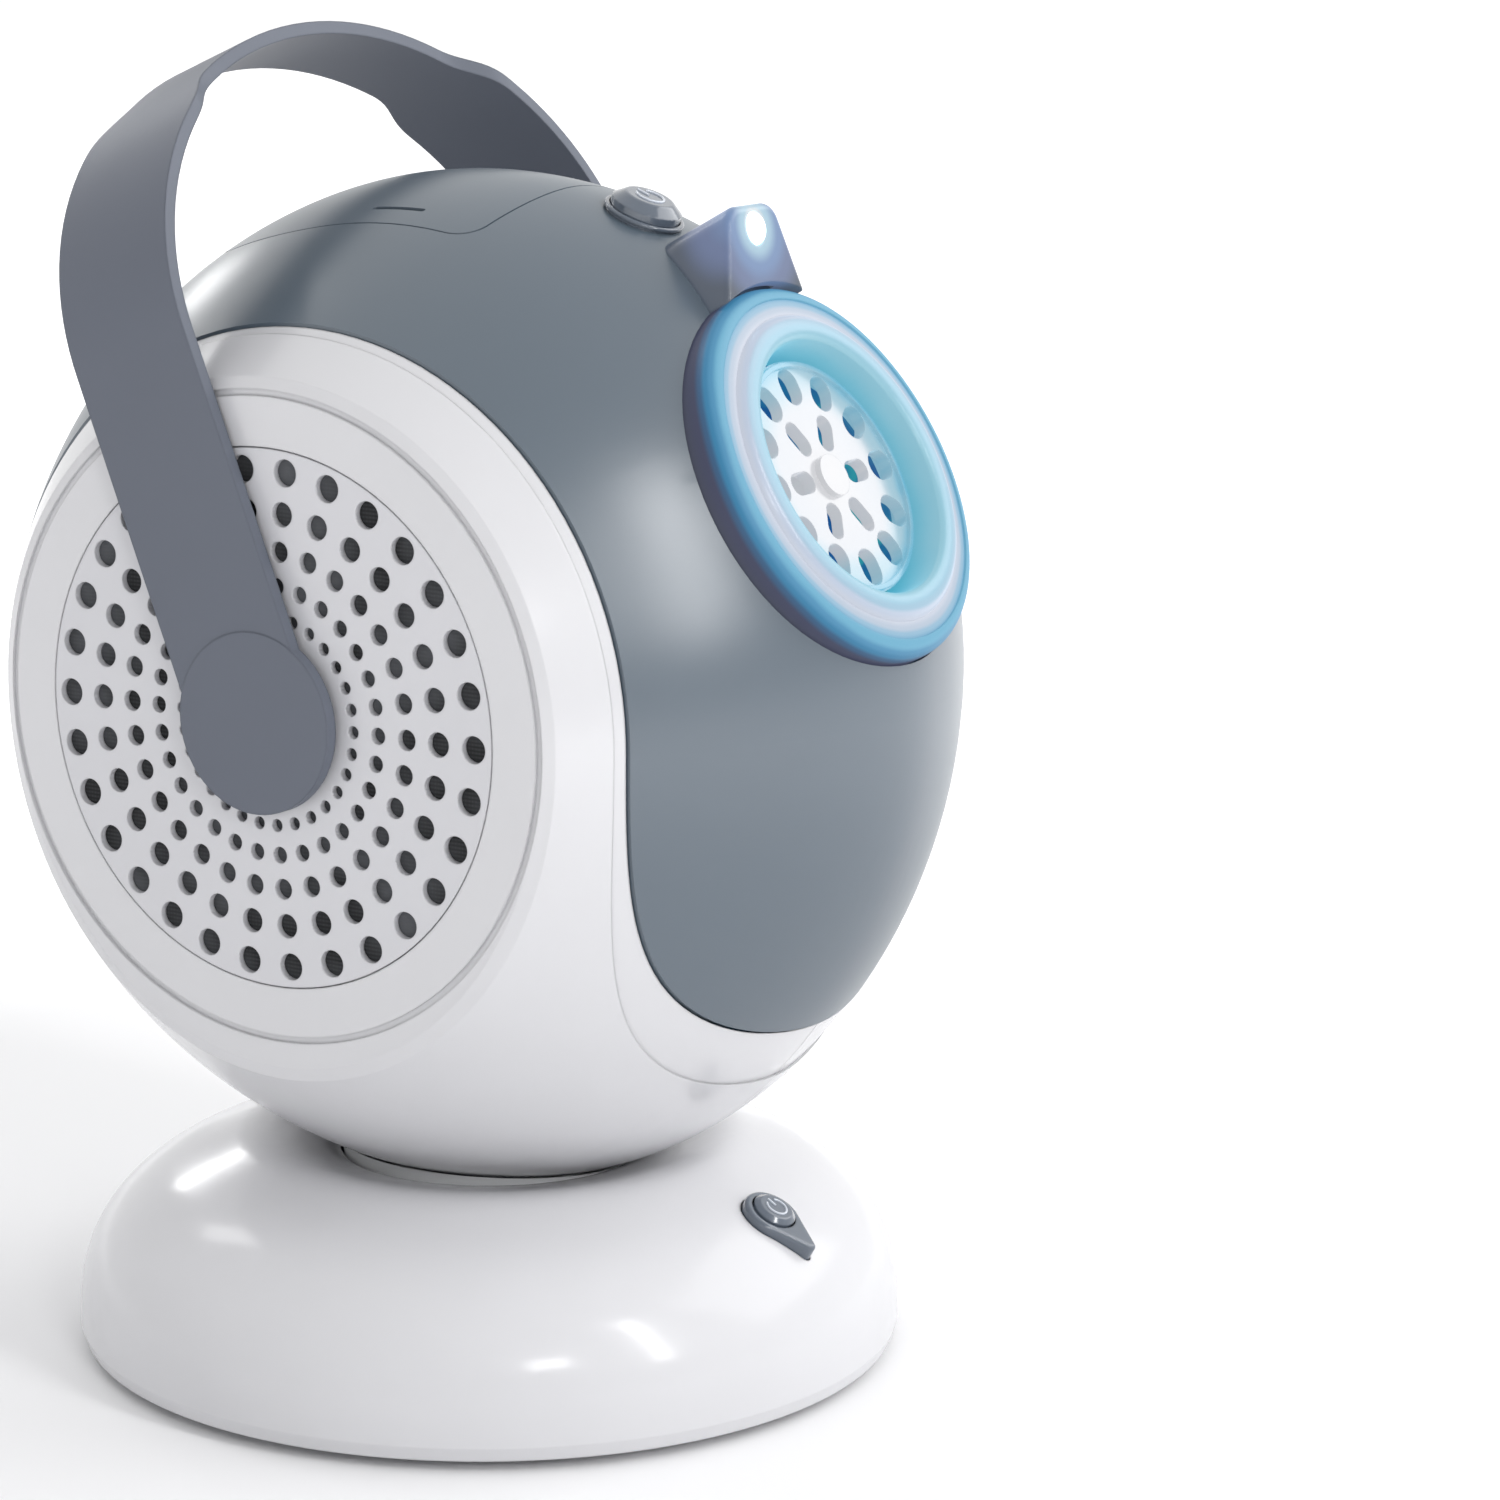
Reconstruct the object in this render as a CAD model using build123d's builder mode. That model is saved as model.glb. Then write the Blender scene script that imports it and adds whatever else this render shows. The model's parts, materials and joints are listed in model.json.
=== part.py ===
from build123d import *
import math
import os

os.makedirs("parts", exist_ok=True)

# Bubble machine: a round head that swivels on a low domed base.
# Millimetres. +Z is up, the floor is Z = 0 and the base's axis is the Z axis.
# The bubbles leave towards -Y, and the two perforated side discs face -X and +X.

# ---------------------------------------------------------------- driving dimensions
BASE_RADIUS = 82.5
BASE_SIDE_Z = 5.0
BASE_RISE = 41.0
BASE_POWER = 2.6
BASE_BOTTOM_Z = 2.2
BASE_WALL = 2.4
FOOT_HEIGHT = 2.0
COVER_TOP_Z = 4.6

HEAD_Z = 138.0
HEAD_RADIUS = 95.8
HEAD_SPREAD = 127.6
HEAD_POWER = 1.81
HEAD_DROOP = 1.084
SIDE_X = 71.5
SIDE_BEVEL = 1.2
HEAD_WALL = 2.6
SEAM = 0.35

COVER_HALF = 59.3
TONGUE_DROP = 62.0
REAR_DROP = 44.0
TONGUE_FULLNESS = 0.64
MARGIN_SIDE = 2.4
MARGIN_LOW = 12.0
MARGIN_STEP = 0.45

NOZZLE_TILT = 29.3
NOZZLE_RADIUS = 37.6
RIM_RADIUS = 34.4
RIM_D = 92.6
WHEEL_RADIUS = 23.6
WHEEL_D = 85.6
DUCT_RADIUS = 25.0

GRILLE_RADIUS = 50.3
GRILLE_RINGS = ((46.4, 5.1), (38.7, 4.6), (31.7, 3.9), (25.3, 3.15), (19.7, 2.4))
GRILLE_COUNT = 30
GRILLE_TURN = 5.8

HANDLE_LEAN = 23.3
HANDLE_FOOT_X = 75.7
HANDLE_KNEE_X = 74.6
HANDLE_KNEE = 71.0
HANDLE_REACH = 129.0
HANDLE_THICK = 2.6
HANDLE_HALF = 13.8
GRIP_HALF = 9.6
GRIP_X = 37.0
GRIP_BLEND = 14.0
BOSS_RADIUS = 17.0
PIN_RADIUS = 6.0
RUNNING_FIT = 0.05

BUTTON_ELEVATION = 68.5
BUTTON_RADIUS = 6.9
BUTTON_BEZEL = 7.9

SWIVEL_RADIUS = 29.7
COLUMN_RADIUS = 12.0
GEAR_RADIUS = 25.4
PINION_X = 31.0


def plane_axis(plane):
    """The axis along a plane's normal, for choosing edges by height."""
    return Axis(plane.origin, plane.z_dir)


# ---------------------------------------------------------------- planes
tilt = math.radians(NOZZLE_TILT)
HEAD_CENTRE = (0, 0, HEAD_Z)
NOZZLE = Plane(HEAD_CENTRE, x_dir=(1, 0, 0), z_dir=(0, -math.cos(tilt), math.sin(tilt)))

NOZZLE_SECTION = Plane(HEAD_CENTRE, x_dir=(1, 0, 0), z_dir=(0, -math.sin(tilt), -math.cos(tilt)))
NOZZLE_AXIS = plane_axis(NOZZLE)

lean = math.radians(HANDLE_LEAN)
LEAN_DIRECTION = (0, math.sin(lean), math.cos(lean))
HANDLE_FACE = Plane(HEAD_CENTRE, x_dir=(1, 0, 0), z_dir=(0, -math.cos(lean), math.sin(lean)))
HANDLE_TOP = Plane(HEAD_CENTRE, x_dir=(1, 0, 0), z_dir=LEAN_DIRECTION)

button_angle = math.radians(BUTTON_ELEVATION)
BUTTON_NORMAL = (0, -math.cos(button_angle), math.sin(button_angle))
BUTTON = Plane(
    (0, HEAD_RADIUS * BUTTON_NORMAL[1], HEAD_Z + HEAD_RADIUS * BUTTON_NORMAL[2]),
    x_dir=(1, 0, 0),
    z_dir=BUTTON_NORMAL,
)

HEAD_FRONT = Plane(HEAD_CENTRE, x_dir=(1, 0, 0), z_dir=(0, -1, 0))
HEAD_LEFT = Plane(HEAD_CENTRE, x_dir=(0, -1, 0), z_dir=(-1, 0, 0))
HEAD_RIGHT = Plane(HEAD_CENTRE, x_dir=(0, 1, 0), z_dir=(1, 0, 0))

BASE_BUTTON_Y = -66.0
BASE_BUTTON_Z = 34.9
BASE_BUTTON_SLOPE = 60.0
slope = math.radians(BASE_BUTTON_SLOPE)
BASE_BUTTON = Plane(
    (0, BASE_BUTTON_Y, BASE_BUTTON_Z),
    x_dir=(1, 0, 0),
    z_dir=(0, -math.cos(slope), math.sin(slope)),
)


def write(piece, name):
    """Label a finished piece and write its STEP file."""
    piece.part.label = name
    export_step(piece.part, f"parts/{name}.step")


# ---------------------------------------------------------------- shared forms
def head_radius(x):
    """Radius of the head's form about the X axis at distance x from the middle."""
    return HEAD_RADIUS * (1 - (abs(x) / HEAD_SPREAD) ** HEAD_POWER)


def head_form(inset):
    """The head's outer form, drawn in by inset: round above, a little deeper below."""
    side = SIDE_X - inset
    edge = side - SIDE_BEVEL
    steps = 6
    curve = [(edge * i / steps, head_radius(edge * i / steps) - inset) for i in range(-steps, steps + 1)]
    flat = curve[-1][1] - 2 * SIDE_BEVEL
    with BuildPart() as round_form:
        with BuildSketch(Plane.XY):
            with BuildLine():
                Spline(*curve)
                Polyline(curve[-1], (side, flat), (side, 0), (-side, 0), (-side, flat), curve[0])
            make_face()
        revolve(axis=Axis.X)
    upper = split(round_form.part, bisect_by=Plane.XY, keep=Keep.TOP)
    lower = split(round_form.part, bisect_by=Plane.XY, keep=Keep.BOTTOM)
    return Pos(*HEAD_CENTRE) * (upper + scale(lower, by=(1, 1, HEAD_DROOP)))


def cover_outline(half, deep):
    """An outline seen from the front: straight sides above and a rounded tongue below."""
    top = 120
    pull = TONGUE_FULLNESS
    with BuildSketch(mode=Mode.PRIVATE) as outline:
        with BuildLine():
            Bezier((half, 0), (half, -deep * pull), (half * pull, -deep), (0, -deep))
            Bezier((0, -deep), (-half * pull, -deep), (-half, -deep * pull), (-half, 0))
            Polyline((-half, 0), (-half, top), (half, top), (half, 0))
        make_face()
    return outline.sketch


def cover_zone(half, front_drop, rear_drop):
    """The space over the top of the head, with a tongue in front and a shorter one behind."""
    with BuildPart() as zone:
        with BuildSketch(HEAD_FRONT):
            add(cover_outline(half, front_drop))
        extrude(amount=HEAD_RADIUS * 1.3)
        with BuildSketch(HEAD_FRONT):
            add(cover_outline(half, rear_drop))
        extrude(amount=-HEAD_RADIUS * 1.3)
    return zone.part


LID_POINTS = ((-32, 14), (-29, 35), (-22, 47), (0, 50), (22, 47), (29, 35), (32, 14))
LID_FRONT_Y = -18.0
LID_CORNER = 6.0


def lid_prism(shrink, low, high):
    """Upright prism inside the lid's outline seen from above, from low to high over the head's centre."""
    sides = [(x * (1 - shrink / 32), y - shrink * (y > 30)) for x, y in LID_POINTS]
    front = LID_FRONT_Y + shrink
    half = 32 - shrink
    corner = LID_CORNER
    with BuildPart() as prism:
        with BuildSketch(Plane.XY.offset(HEAD_Z + low)):
            with BuildLine():
                Spline(*sides, tangents=[(0, 1), (0, -1)])
                Line(sides[-1], (half, front + corner))
                ThreePointArc((half, front + corner), (half - 1.8, front + 1.8), (half - corner, front))
                ThreePointArc((half - corner, front), (0, front - 1.6), (corner - half, front))
                ThreePointArc((corner - half, front), (1.8 - half, front + 1.8), (-half, front + corner))
                Line((-half, front + corner), sides[0])
            make_face()
        extrude(amount=high - low)
    return prism.part


def ring_solid(plane, outer, inner, start, end):
    """A plain ring between two distances along a plane's normal."""
    with BuildPart() as ring:
        with BuildSketch(plane.offset(start)):
            Circle(outer)
            if inner:
                Circle(inner, mode=Mode.SUBTRACT)
        extrude(amount=end - start)
    return ring.part


head_outer = head_form(0)
head_inner = head_form(HEAD_WALL)
head_recess = head_form(MARGIN_STEP)
cover_space = cover_zone(COVER_HALF, TONGUE_DROP, REAR_DROP)
cover_cut = cover_zone(COVER_HALF + SEAM, TONGUE_DROP + SEAM, REAR_DROP + SEAM)
margin_space = cover_zone(COVER_HALF + MARGIN_SIDE, TONGUE_DROP + MARGIN_LOW, REAR_DROP + MARGIN_LOW)
margin_cut = margin_space - head_recess

# ---------------------------------------------------------------- base
DISH = ((48.5, 42.2), (42.0, 42.0), (36.0, 40.7))
WELL_RADIUS = 30.3
WELL_Z = 38.7
SCREW_RING = 72.0
SCREW_COUNT = 5
SCREW_START = 54.0
POST_RADIUS = 4.0
POST_TOP_Z = 24.0
SCREW_SHANK = 1.4
SCREW_HEAD = 2.8


def base_curve(inset):
    """Points up the base's dome and down into the dish under the head."""
    fractions = [0, 0.17, 0.34, 0.5, 0.64, 0.76, 0.85]
    dome = [
        (
            (BASE_RADIUS - inset) * (1 - f**BASE_POWER) ** (1 / BASE_POWER),
            BASE_SIDE_Z + (BASE_RISE - inset) * f,
        )
        for f in fractions
    ]
    return dome + [(r, z - inset) for r, z in DISH] + [(WELL_RADIUS, WELL_Z - inset)]


def dome_section(inset, bottom):
    """Half section of the dome from its axis out, down to the bottom level."""
    curve = base_curve(inset)
    with BuildSketch(mode=Mode.PRIVATE) as section:
        with BuildLine():
            Spline(*curve, tangents=[(0, 1), (-0.8, -0.5)])
            Polyline(curve[-1], (0, curve[-1][1]), (0, bottom), (curve[0][0] - 1, bottom), curve[0])
        make_face()
    return section.sketch


def teardrop(radius, tail):
    """Round at the top, drawn out to a small round point below."""
    tip = radius * 0.22
    with BuildSketch(mode=Mode.PRIVATE) as drop:
        Circle(radius)
        with Locations((0, tip - tail)):
            Circle(tip)
        make_hull()
    return drop.sketch


DROP_RADIUS = 6.0
DROP_TAIL = 11.0
DROP_SINK = 4.0
BASE_BEZEL_HIGH = 1.7

with BuildPart() as base_shell:
    with BuildSketch(Plane.XZ):
        add(dome_section(0, BASE_BOTTOM_Z))
    revolve(axis=Axis.Z)
    with BuildSketch(Plane.XZ):
        add(dome_section(BASE_WALL, BASE_BOTTOM_Z - 1))
    revolve(axis=Axis.Z, mode=Mode.SUBTRACT)
    with BuildSketch(Plane.XY.offset(BASE_BOTTOM_Z)):
        Circle(WELL_RADIUS)
    extrude(amount=BASE_RISE, mode=Mode.SUBTRACT)
    with BuildSketch(Plane.XY.offset(COVER_TOP_Z + 0.2)):
        with PolarLocations(SCREW_RING, SCREW_COUNT, start_angle=SCREW_START):
            Circle(POST_RADIUS)
            Circle(SCREW_SHANK, mode=Mode.SUBTRACT)
    extrude(amount=POST_TOP_Z - COVER_TOP_Z)
    with BuildSketch(BASE_BUTTON.offset(-DROP_SINK)):
        add(teardrop(DROP_RADIUS + 0.25, DROP_TAIL + 0.25))
    extrude(amount=2 * DROP_SINK, mode=Mode.SUBTRACT)
    with BuildSketch(Plane.XZ.offset(-BASE_RADIUS - 1)):
        with Locations((0, 12)):
            RectangleRounded(11, 6, 1.5)
    extrude(amount=6, mode=Mode.SUBTRACT)
write(base_shell, "base_shell")

CELL_RADIUS = 7.2
CELL_LENGTH = 50.5
CELL_PITCH = 14.7
CELL_COUNT = 3
CELL_Z = 12.2
BATTERY_Y = 44.5
BATTERY_HALF_X = 28.0
BATTERY_HALF_Y = 22.4
BOX_WALL = 1.6
BOX_TOP_Z = 21.6
DOOR_GAP = 0.25
DOOR_THICK = 2.0
BEARING_RADIUS = 17.0
BEARING_Z = 12.0
BEARING_TOP_Z = 23.4

with BuildPart() as base_cover:
    with BuildSketch(Plane.XY.offset(FOOT_HEIGHT)):
        Circle(BASE_RADIUS - BASE_WALL - 1.4)
    extrude(amount=COVER_TOP_Z - FOOT_HEIGHT)
    with BuildSketch(Plane.XY.offset(COVER_TOP_Z)):
        with Locations((0, BATTERY_Y)):
            Rectangle(2 * (BATTERY_HALF_X + BOX_WALL), 2 * (BATTERY_HALF_Y + BOX_WALL))
    extrude(amount=BOX_TOP_Z - COVER_TOP_Z)
    with BuildSketch(Plane.XY.offset(COVER_TOP_Z)):
        Circle(BEARING_RADIUS)
        Circle(COLUMN_RADIUS - 1, mode=Mode.SUBTRACT)
    extrude(amount=BEARING_Z - COVER_TOP_Z)
    with BuildSketch(Plane.XY.offset(FOOT_HEIGHT)):
        with Locations((0, BATTERY_Y)):
            Rectangle(2 * BATTERY_HALF_X, 2 * BATTERY_HALF_Y)
    extrude(amount=BOX_TOP_Z - BOX_WALL - FOOT_HEIGHT, mode=Mode.SUBTRACT)
    with BuildSketch(Plane.XY.offset(FOOT_HEIGHT)):
        with PolarLocations(SCREW_RING, SCREW_COUNT, start_angle=SCREW_START):
            Circle(SCREW_SHANK)
    extrude(amount=COVER_TOP_Z - FOOT_HEIGHT, mode=Mode.SUBTRACT)
    with BuildSketch(Plane.XY.offset(FOOT_HEIGHT)):
        with PolarLocations(SCREW_RING, SCREW_COUNT, start_angle=SCREW_START):
            Circle(SCREW_HEAD + 0.3)
    extrude(amount=1.6, mode=Mode.SUBTRACT)
write(base_cover, "base_cover")

with BuildPart() as base_screws:
    with BuildSketch(Plane.XY.offset(FOOT_HEIGHT + 0.2)):
        with PolarLocations(SCREW_RING, SCREW_COUNT, start_angle=SCREW_START):
            Circle(SCREW_HEAD)
    extrude(amount=1.4)
    with BuildSketch(Plane.XY.offset(FOOT_HEIGHT + 1.6)):
        with PolarLocations(SCREW_RING, SCREW_COUNT, start_angle=SCREW_START):
            Circle(SCREW_SHANK)
    extrude(amount=14)
    with BuildSketch(Plane.XY.offset(FOOT_HEIGHT + 0.2)):
        with PolarLocations(SCREW_RING, SCREW_COUNT, start_angle=SCREW_START):
            Rectangle(3.4, 0.7)
            Rectangle(0.7, 3.4)
    extrude(amount=0.7, mode=Mode.SUBTRACT)
write(base_screws, "base_screws")

DOOR_SCREW_Y = BATTERY_Y - BATTERY_HALF_Y + 4.0

with BuildPart() as battery_door:
    with BuildSketch(Plane.XY.offset(FOOT_HEIGHT)):
        with Locations((0, BATTERY_Y)):
            Rectangle(2 * (BATTERY_HALF_X - DOOR_GAP), 2 * (BATTERY_HALF_Y - DOOR_GAP))
    extrude(amount=DOOR_THICK)
    with BuildSketch(Plane.XY.offset(FOOT_HEIGHT)):
        with Locations((0, DOOR_SCREW_Y)):
            Circle(SCREW_SHANK)
        with GridLocations(12, 6, 1, 3):
            with Locations((0, BATTERY_Y + 10)):
                Rectangle(18, 1.6)
    extrude(amount=0.6, mode=Mode.SUBTRACT)
    with BuildSketch(Plane.XY.offset(FOOT_HEIGHT)):
        with Locations((0, DOOR_SCREW_Y)):
            Circle(SCREW_SHANK)
    extrude(amount=DOOR_THICK, mode=Mode.SUBTRACT)
write(battery_door, "battery_door")

with BuildPart() as door_screw:
    with BuildSketch(Plane.XY.offset(FOOT_HEIGHT - 0.6)):
        with Locations((0, DOOR_SCREW_Y)):
            Circle(SCREW_HEAD)
    extrude(amount=0.6)
    with BuildSketch(Plane.XY.offset(FOOT_HEIGHT)):
        with Locations((0, DOOR_SCREW_Y)):
            Circle(SCREW_SHANK)
    extrude(amount=DOOR_THICK + 0.8)
write(door_screw, "battery_door_screw")

with BuildPart() as battery_cells:
    with BuildSketch(Plane.YZ.offset(-CELL_LENGTH / 2)):
        with Locations((BATTERY_Y, CELL_Z)):
            with GridLocations(CELL_PITCH, 1, CELL_COUNT, 1):
                Circle(CELL_RADIUS)
    extrude(amount=CELL_LENGTH - 1)
    with BuildSketch(Plane.YZ.offset(CELL_LENGTH / 2 - 1)):
        with Locations((BATTERY_Y, CELL_Z)):
            with GridLocations(CELL_PITCH, 1, CELL_COUNT, 1):
                Circle(2.7)
    extrude(amount=1)
write(battery_cells, "battery_cells")

with BuildPart() as battery_contacts:
    for side in (-1, 1):
        with BuildSketch(Plane.YZ.offset(side * (BATTERY_HALF_X - 0.3))):
            with Locations((BATTERY_Y, CELL_Z)):
                with GridLocations(CELL_PITCH, 1, CELL_COUNT, 1):
                    Rectangle(11, 11)
        extrude(amount=0.3, both=True)
        with BuildSketch(Plane.YZ.offset(side * (BATTERY_HALF_X - 0.6))):
            with Locations((BATTERY_Y, CELL_Z)):
                with GridLocations(CELL_PITCH, 1, CELL_COUNT, 1):
                    Circle(3)
        extrude(amount=-side * (BATTERY_HALF_X - 0.6 - CELL_LENGTH / 2))
write(battery_contacts, "battery_contacts")

with BuildPart() as rubber_feet:
    with BuildSketch(Plane.XY):
        with PolarLocations(SCREW_RING - 2, 4, start_angle=45):
            Circle(6)
    extrude(amount=FOOT_HEIGHT)
    chamfer(rubber_feet.edges().group_by(Axis.Z)[0], 0.5)
write(rubber_feet, "rubber_feet")

with BuildPart() as swivel_bearing:
    with BuildSketch(Plane.XY.offset(BEARING_Z)):
        Circle(BEARING_RADIUS)
        Circle(COLUMN_RADIUS + RUNNING_FIT, mode=Mode.SUBTRACT)
    extrude(amount=BEARING_TOP_Z - BEARING_Z)
write(swivel_bearing, "swivel_bearing")

MOTOR_RADIUS = 9.0
MOTOR_TOP_Z = 21.5
GEAR_Z = 24.4
GEAR_THICK = 3.6

with BuildPart() as swivel_motor:
    with BuildSketch(Plane.XY.offset(COVER_TOP_Z)):
        with Locations((PINION_X, 0)):
            Circle(MOTOR_RADIUS)
    extrude(amount=MOTOR_TOP_Z - COVER_TOP_Z)
    with BuildSketch(Plane.XY.offset(MOTOR_TOP_Z)):
        with Locations((PINION_X, 0)):
            Circle(3)
    extrude(amount=1.2)
    with BuildSketch(Plane.XY.offset(MOTOR_TOP_Z)):
        with Locations((PINION_X, 0)):
            Circle(1)
    extrude(amount=GEAR_Z + GEAR_THICK - MOTOR_TOP_Z)
write(swivel_motor, "swivel_motor")

with BuildPart() as swivel_pinion:
    with BuildSketch(Plane.XY.offset(GEAR_Z)):
        with Locations((PINION_X, 0)):
            Circle(4)
            with PolarLocations(4, 10):
                Rectangle(1.6, 1.1)
            Circle(1 + RUNNING_FIT, mode=Mode.SUBTRACT)
    extrude(amount=GEAR_THICK)
write(swivel_pinion, "swivel_pinion")

BOARD_THICK = 1.6
BOARD_SINK = 12.0

with BuildPart() as base_board:
    with BuildSketch(BASE_BUTTON.offset(-BOARD_SINK)):
        with Locations((0, 2)):
            Rectangle(34, 18)
    extrude(amount=BOARD_THICK)
write(base_board, "base_circuit_board")

with BuildPart() as base_board_parts:
    with BuildSketch(BASE_BUTTON.offset(BOARD_THICK - BOARD_SINK)):
        Rectangle(6, 6)
        with Locations((-12, 3), (12, 3)):
            Rectangle(5, 7)
    extrude(amount=1.8)
    with BuildSketch(BASE_BUTTON.offset(BOARD_THICK + 1.8 - BOARD_SINK)):
        Circle(1.7)
    extrude(amount=1.2)
write(base_board_parts, "base_board_components")

SOCKET_Z = 12.0

with BuildPart() as power_socket:
    with BuildSketch(Plane.XZ.offset(-BASE_RADIUS + 2.7)):
        with Locations((0, SOCKET_Z)):
            RectangleRounded(10.4, 5.4, 1.3)
            RectangleRounded(8.4, 3.2, 1.2, mode=Mode.SUBTRACT)
    extrude(amount=7)
    with BuildSketch(Plane.XZ.offset(-BASE_RADIUS + 8.4)):
        with Locations((0, SOCKET_Z)):
            RectangleRounded(8.4, 3.2, 1.2)
    extrude(amount=1.3)
write(power_socket, "power_socket")

with BuildPart() as base_bezel:
    with BuildSketch(BASE_BUTTON.offset(-2.6)):
        add(teardrop(DROP_RADIUS, DROP_TAIL))
    extrude(amount=BASE_BEZEL_HIGH + 2.6)
    fillet(base_bezel.edges().group_by(plane_axis(BASE_BUTTON))[-1], 0.8)
    with BuildSketch(BASE_BUTTON.offset(-2.6)):
        Circle(4.7)
    extrude(amount=6, mode=Mode.SUBTRACT)
write(base_bezel, "base_button_bezel")


def domed_cap(plane, radius, low, high, dome, name):
    """A round push cap with a gently domed top and a flange below its bezel."""
    with BuildPart() as cap:
        with BuildSketch(plane.offset(low)):
            Circle(radius)
        extrude(amount=high - low)
        with BuildSketch(plane.offset(high)):
            Circle(radius)
        extrude(amount=dome, taper=52)
        fillet(cap.edges().group_by(plane_axis(plane))[-1], dome * 0.6)
    write(cap, name)


BASE_CAP_RADIUS = 4.4
domed_cap(BASE_BUTTON, BASE_CAP_RADIUS, -5.6, BASE_BEZEL_HIGH + 0.4, 0.8, "base_button")

# ---------------------------------------------------------------- head shells and cover
nozzle_bore = ring_solid(NOZZLE, NOZZLE_RADIUS + SEAM, 0, 62, 130)
GRILLE_LIP = 49.3
GRILLE_THICK = 1.4
NECK_HOLE = 24.0
MIDDLE_GAP = 0.06
GROOVE_OUT = 62.4
GROOVE_DEPTH = 0.7
side_planes = {"left": HEAD_LEFT, "right": HEAD_RIGHT}


def side_shell(side):
    """White half shell: side cheek, half of the underside and the band below the cover."""
    plane = side_planes[side]
    keep = Keep.BOTTOM if side == "left" else Keep.TOP
    hole = ring_solid(plane, GRILLE_RADIUS + 0.25, 0, SIDE_X - HEAD_WALL - 1, SIDE_X + 5)
    lip = ring_solid(plane, GRILLE_RADIUS + 4, GRILLE_LIP, SIDE_X - HEAD_WALL - 2, SIDE_X - GRILLE_THICK)
    groove = ring_solid(plane, GROOVE_OUT - 1.4, GROOVE_OUT - 2.6, SIDE_X - GROOVE_DEPTH, SIDE_X + 5)
    with BuildPart() as shell:
        add(head_outer)
        add(head_inner, mode=Mode.SUBTRACT)
        split(bisect_by=Plane.YZ.offset(-MIDDLE_GAP if side == "left" else MIDDLE_GAP), keep=keep)
        add(cover_cut, mode=Mode.SUBTRACT)
        add(margin_cut, mode=Mode.SUBTRACT)
        add(hole, mode=Mode.SUBTRACT)
        add(groove, mode=Mode.SUBTRACT)
        add(lip)
        with BuildSketch(Plane.XY):
            Circle(NECK_HOLE)
        extrude(amount=HEAD_Z / 2, mode=Mode.SUBTRACT)
    return shell


for side in side_planes:
    write(side_shell(side), f"{side}_shell")

lid_hole = lid_prism(-SEAM, 40, 120)

with BuildPart() as top_cover:
    add(head_outer)
    add(head_inner, mode=Mode.SUBTRACT)
    add(cover_space, mode=Mode.INTERSECT)
    add(nozzle_bore, mode=Mode.SUBTRACT)
    add(lid_hole, mode=Mode.SUBTRACT)
    with BuildSketch(BUTTON.offset(-8)):
        Circle(BUTTON_RADIUS + 0.7)
    extrude(amount=16, mode=Mode.SUBTRACT)
write(top_cover, "top_cover")

# ---------------------------------------------------------------- side grilles and pivots
BUSH_RADIUS = 8.6
BUSH_FLANGE = 13.0
BUSH_DEPTH = 12.0


def side_grille(side):
    """Perforated disc with radial rows of holes and a middle hole for the handle's pivot."""
    plane = side_planes[side]
    turn = 90 - GRILLE_TURN if side == "left" else 90 + GRILLE_TURN
    with BuildPart() as grille:
        with BuildSketch(plane.offset(SIDE_X - GRILLE_THICK)):
            Circle(GRILLE_RADIUS)
            Circle(BUSH_RADIUS, mode=Mode.SUBTRACT)
            for radius, hole in GRILLE_RINGS:
                with PolarLocations(radius, GRILLE_COUNT, start_angle=turn):
                    Circle(hole / 2, mode=Mode.SUBTRACT)
        extrude(amount=GRILLE_THICK)
    return grille


def pivot_bush(side):
    """Flanged bush behind the disc that carries the handle's pin."""
    plane = side_planes[side]
    with BuildPart() as bush:
        with BuildSketch(plane.offset(SIDE_X - GRILLE_THICK - 2)):
            Circle(BUSH_FLANGE)
        extrude(amount=2)
        with BuildSketch(plane.offset(SIDE_X - BUSH_DEPTH)):
            Circle(BUSH_RADIUS - 0.05)
        extrude(amount=BUSH_DEPTH - 0.4)
        with BuildSketch(plane.offset(SIDE_X - BUSH_DEPTH)):
            Circle(PIN_RADIUS + RUNNING_FIT)
        extrude(amount=BUSH_DEPTH + 1, mode=Mode.SUBTRACT)
    return bush


for side in side_planes:
    write(side_grille(side), f"{side}_grille")
    write(pivot_bush(side), f"{side}_pivot_bush")

CLOTH_THICK = 0.5

with BuildPart() as grille_cloths:
    for plane in side_planes.values():
        with BuildSketch(plane.offset(SIDE_X - GRILLE_THICK - CLOTH_THICK)):
            Circle(GRILLE_LIP - 0.2)
            Circle(BUSH_FLANGE + 0.2, mode=Mode.SUBTRACT)
        extrude(amount=CLOTH_THICK)
write(grille_cloths, "grille_cloths")

# ---------------------------------------------------------------- nozzle
RING_START = 80.0
LIGHT_INNER = 31.0
CONE_THROAT = 24.6

with BuildPart() as nozzle_ring:
    with BuildSketch(NOZZLE_SECTION):
        with BuildLine():
            Polyline((RIM_RADIUS, RIM_D), (RIM_RADIUS, RING_START), (NOZZLE_RADIUS, RING_START), (NOZZLE_RADIUS, 89))
            Spline((NOZZLE_RADIUS, 89), (36.9, 91.3), (RIM_RADIUS, RIM_D), tangents=[(0, 1), (-1, 0.1)])
        make_face()
    revolve(axis=NOZZLE_AXIS)
write(nozzle_ring, "nozzle_ring")

with BuildPart() as light_ring:
    with BuildSketch(NOZZLE_SECTION):
        with BuildLine():
            Polyline((LIGHT_INNER, RIM_D), (LIGHT_INNER, 86), (RIM_RADIUS, 86), (RIM_RADIUS, RIM_D - 0.3))
            Spline((RIM_RADIUS, RIM_D - 0.3), (32.8, RIM_D - 0.2), (LIGHT_INNER, RIM_D))
        make_face()
    revolve(axis=NOZZLE_AXIS)
write(light_ring, "light_ring")

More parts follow.
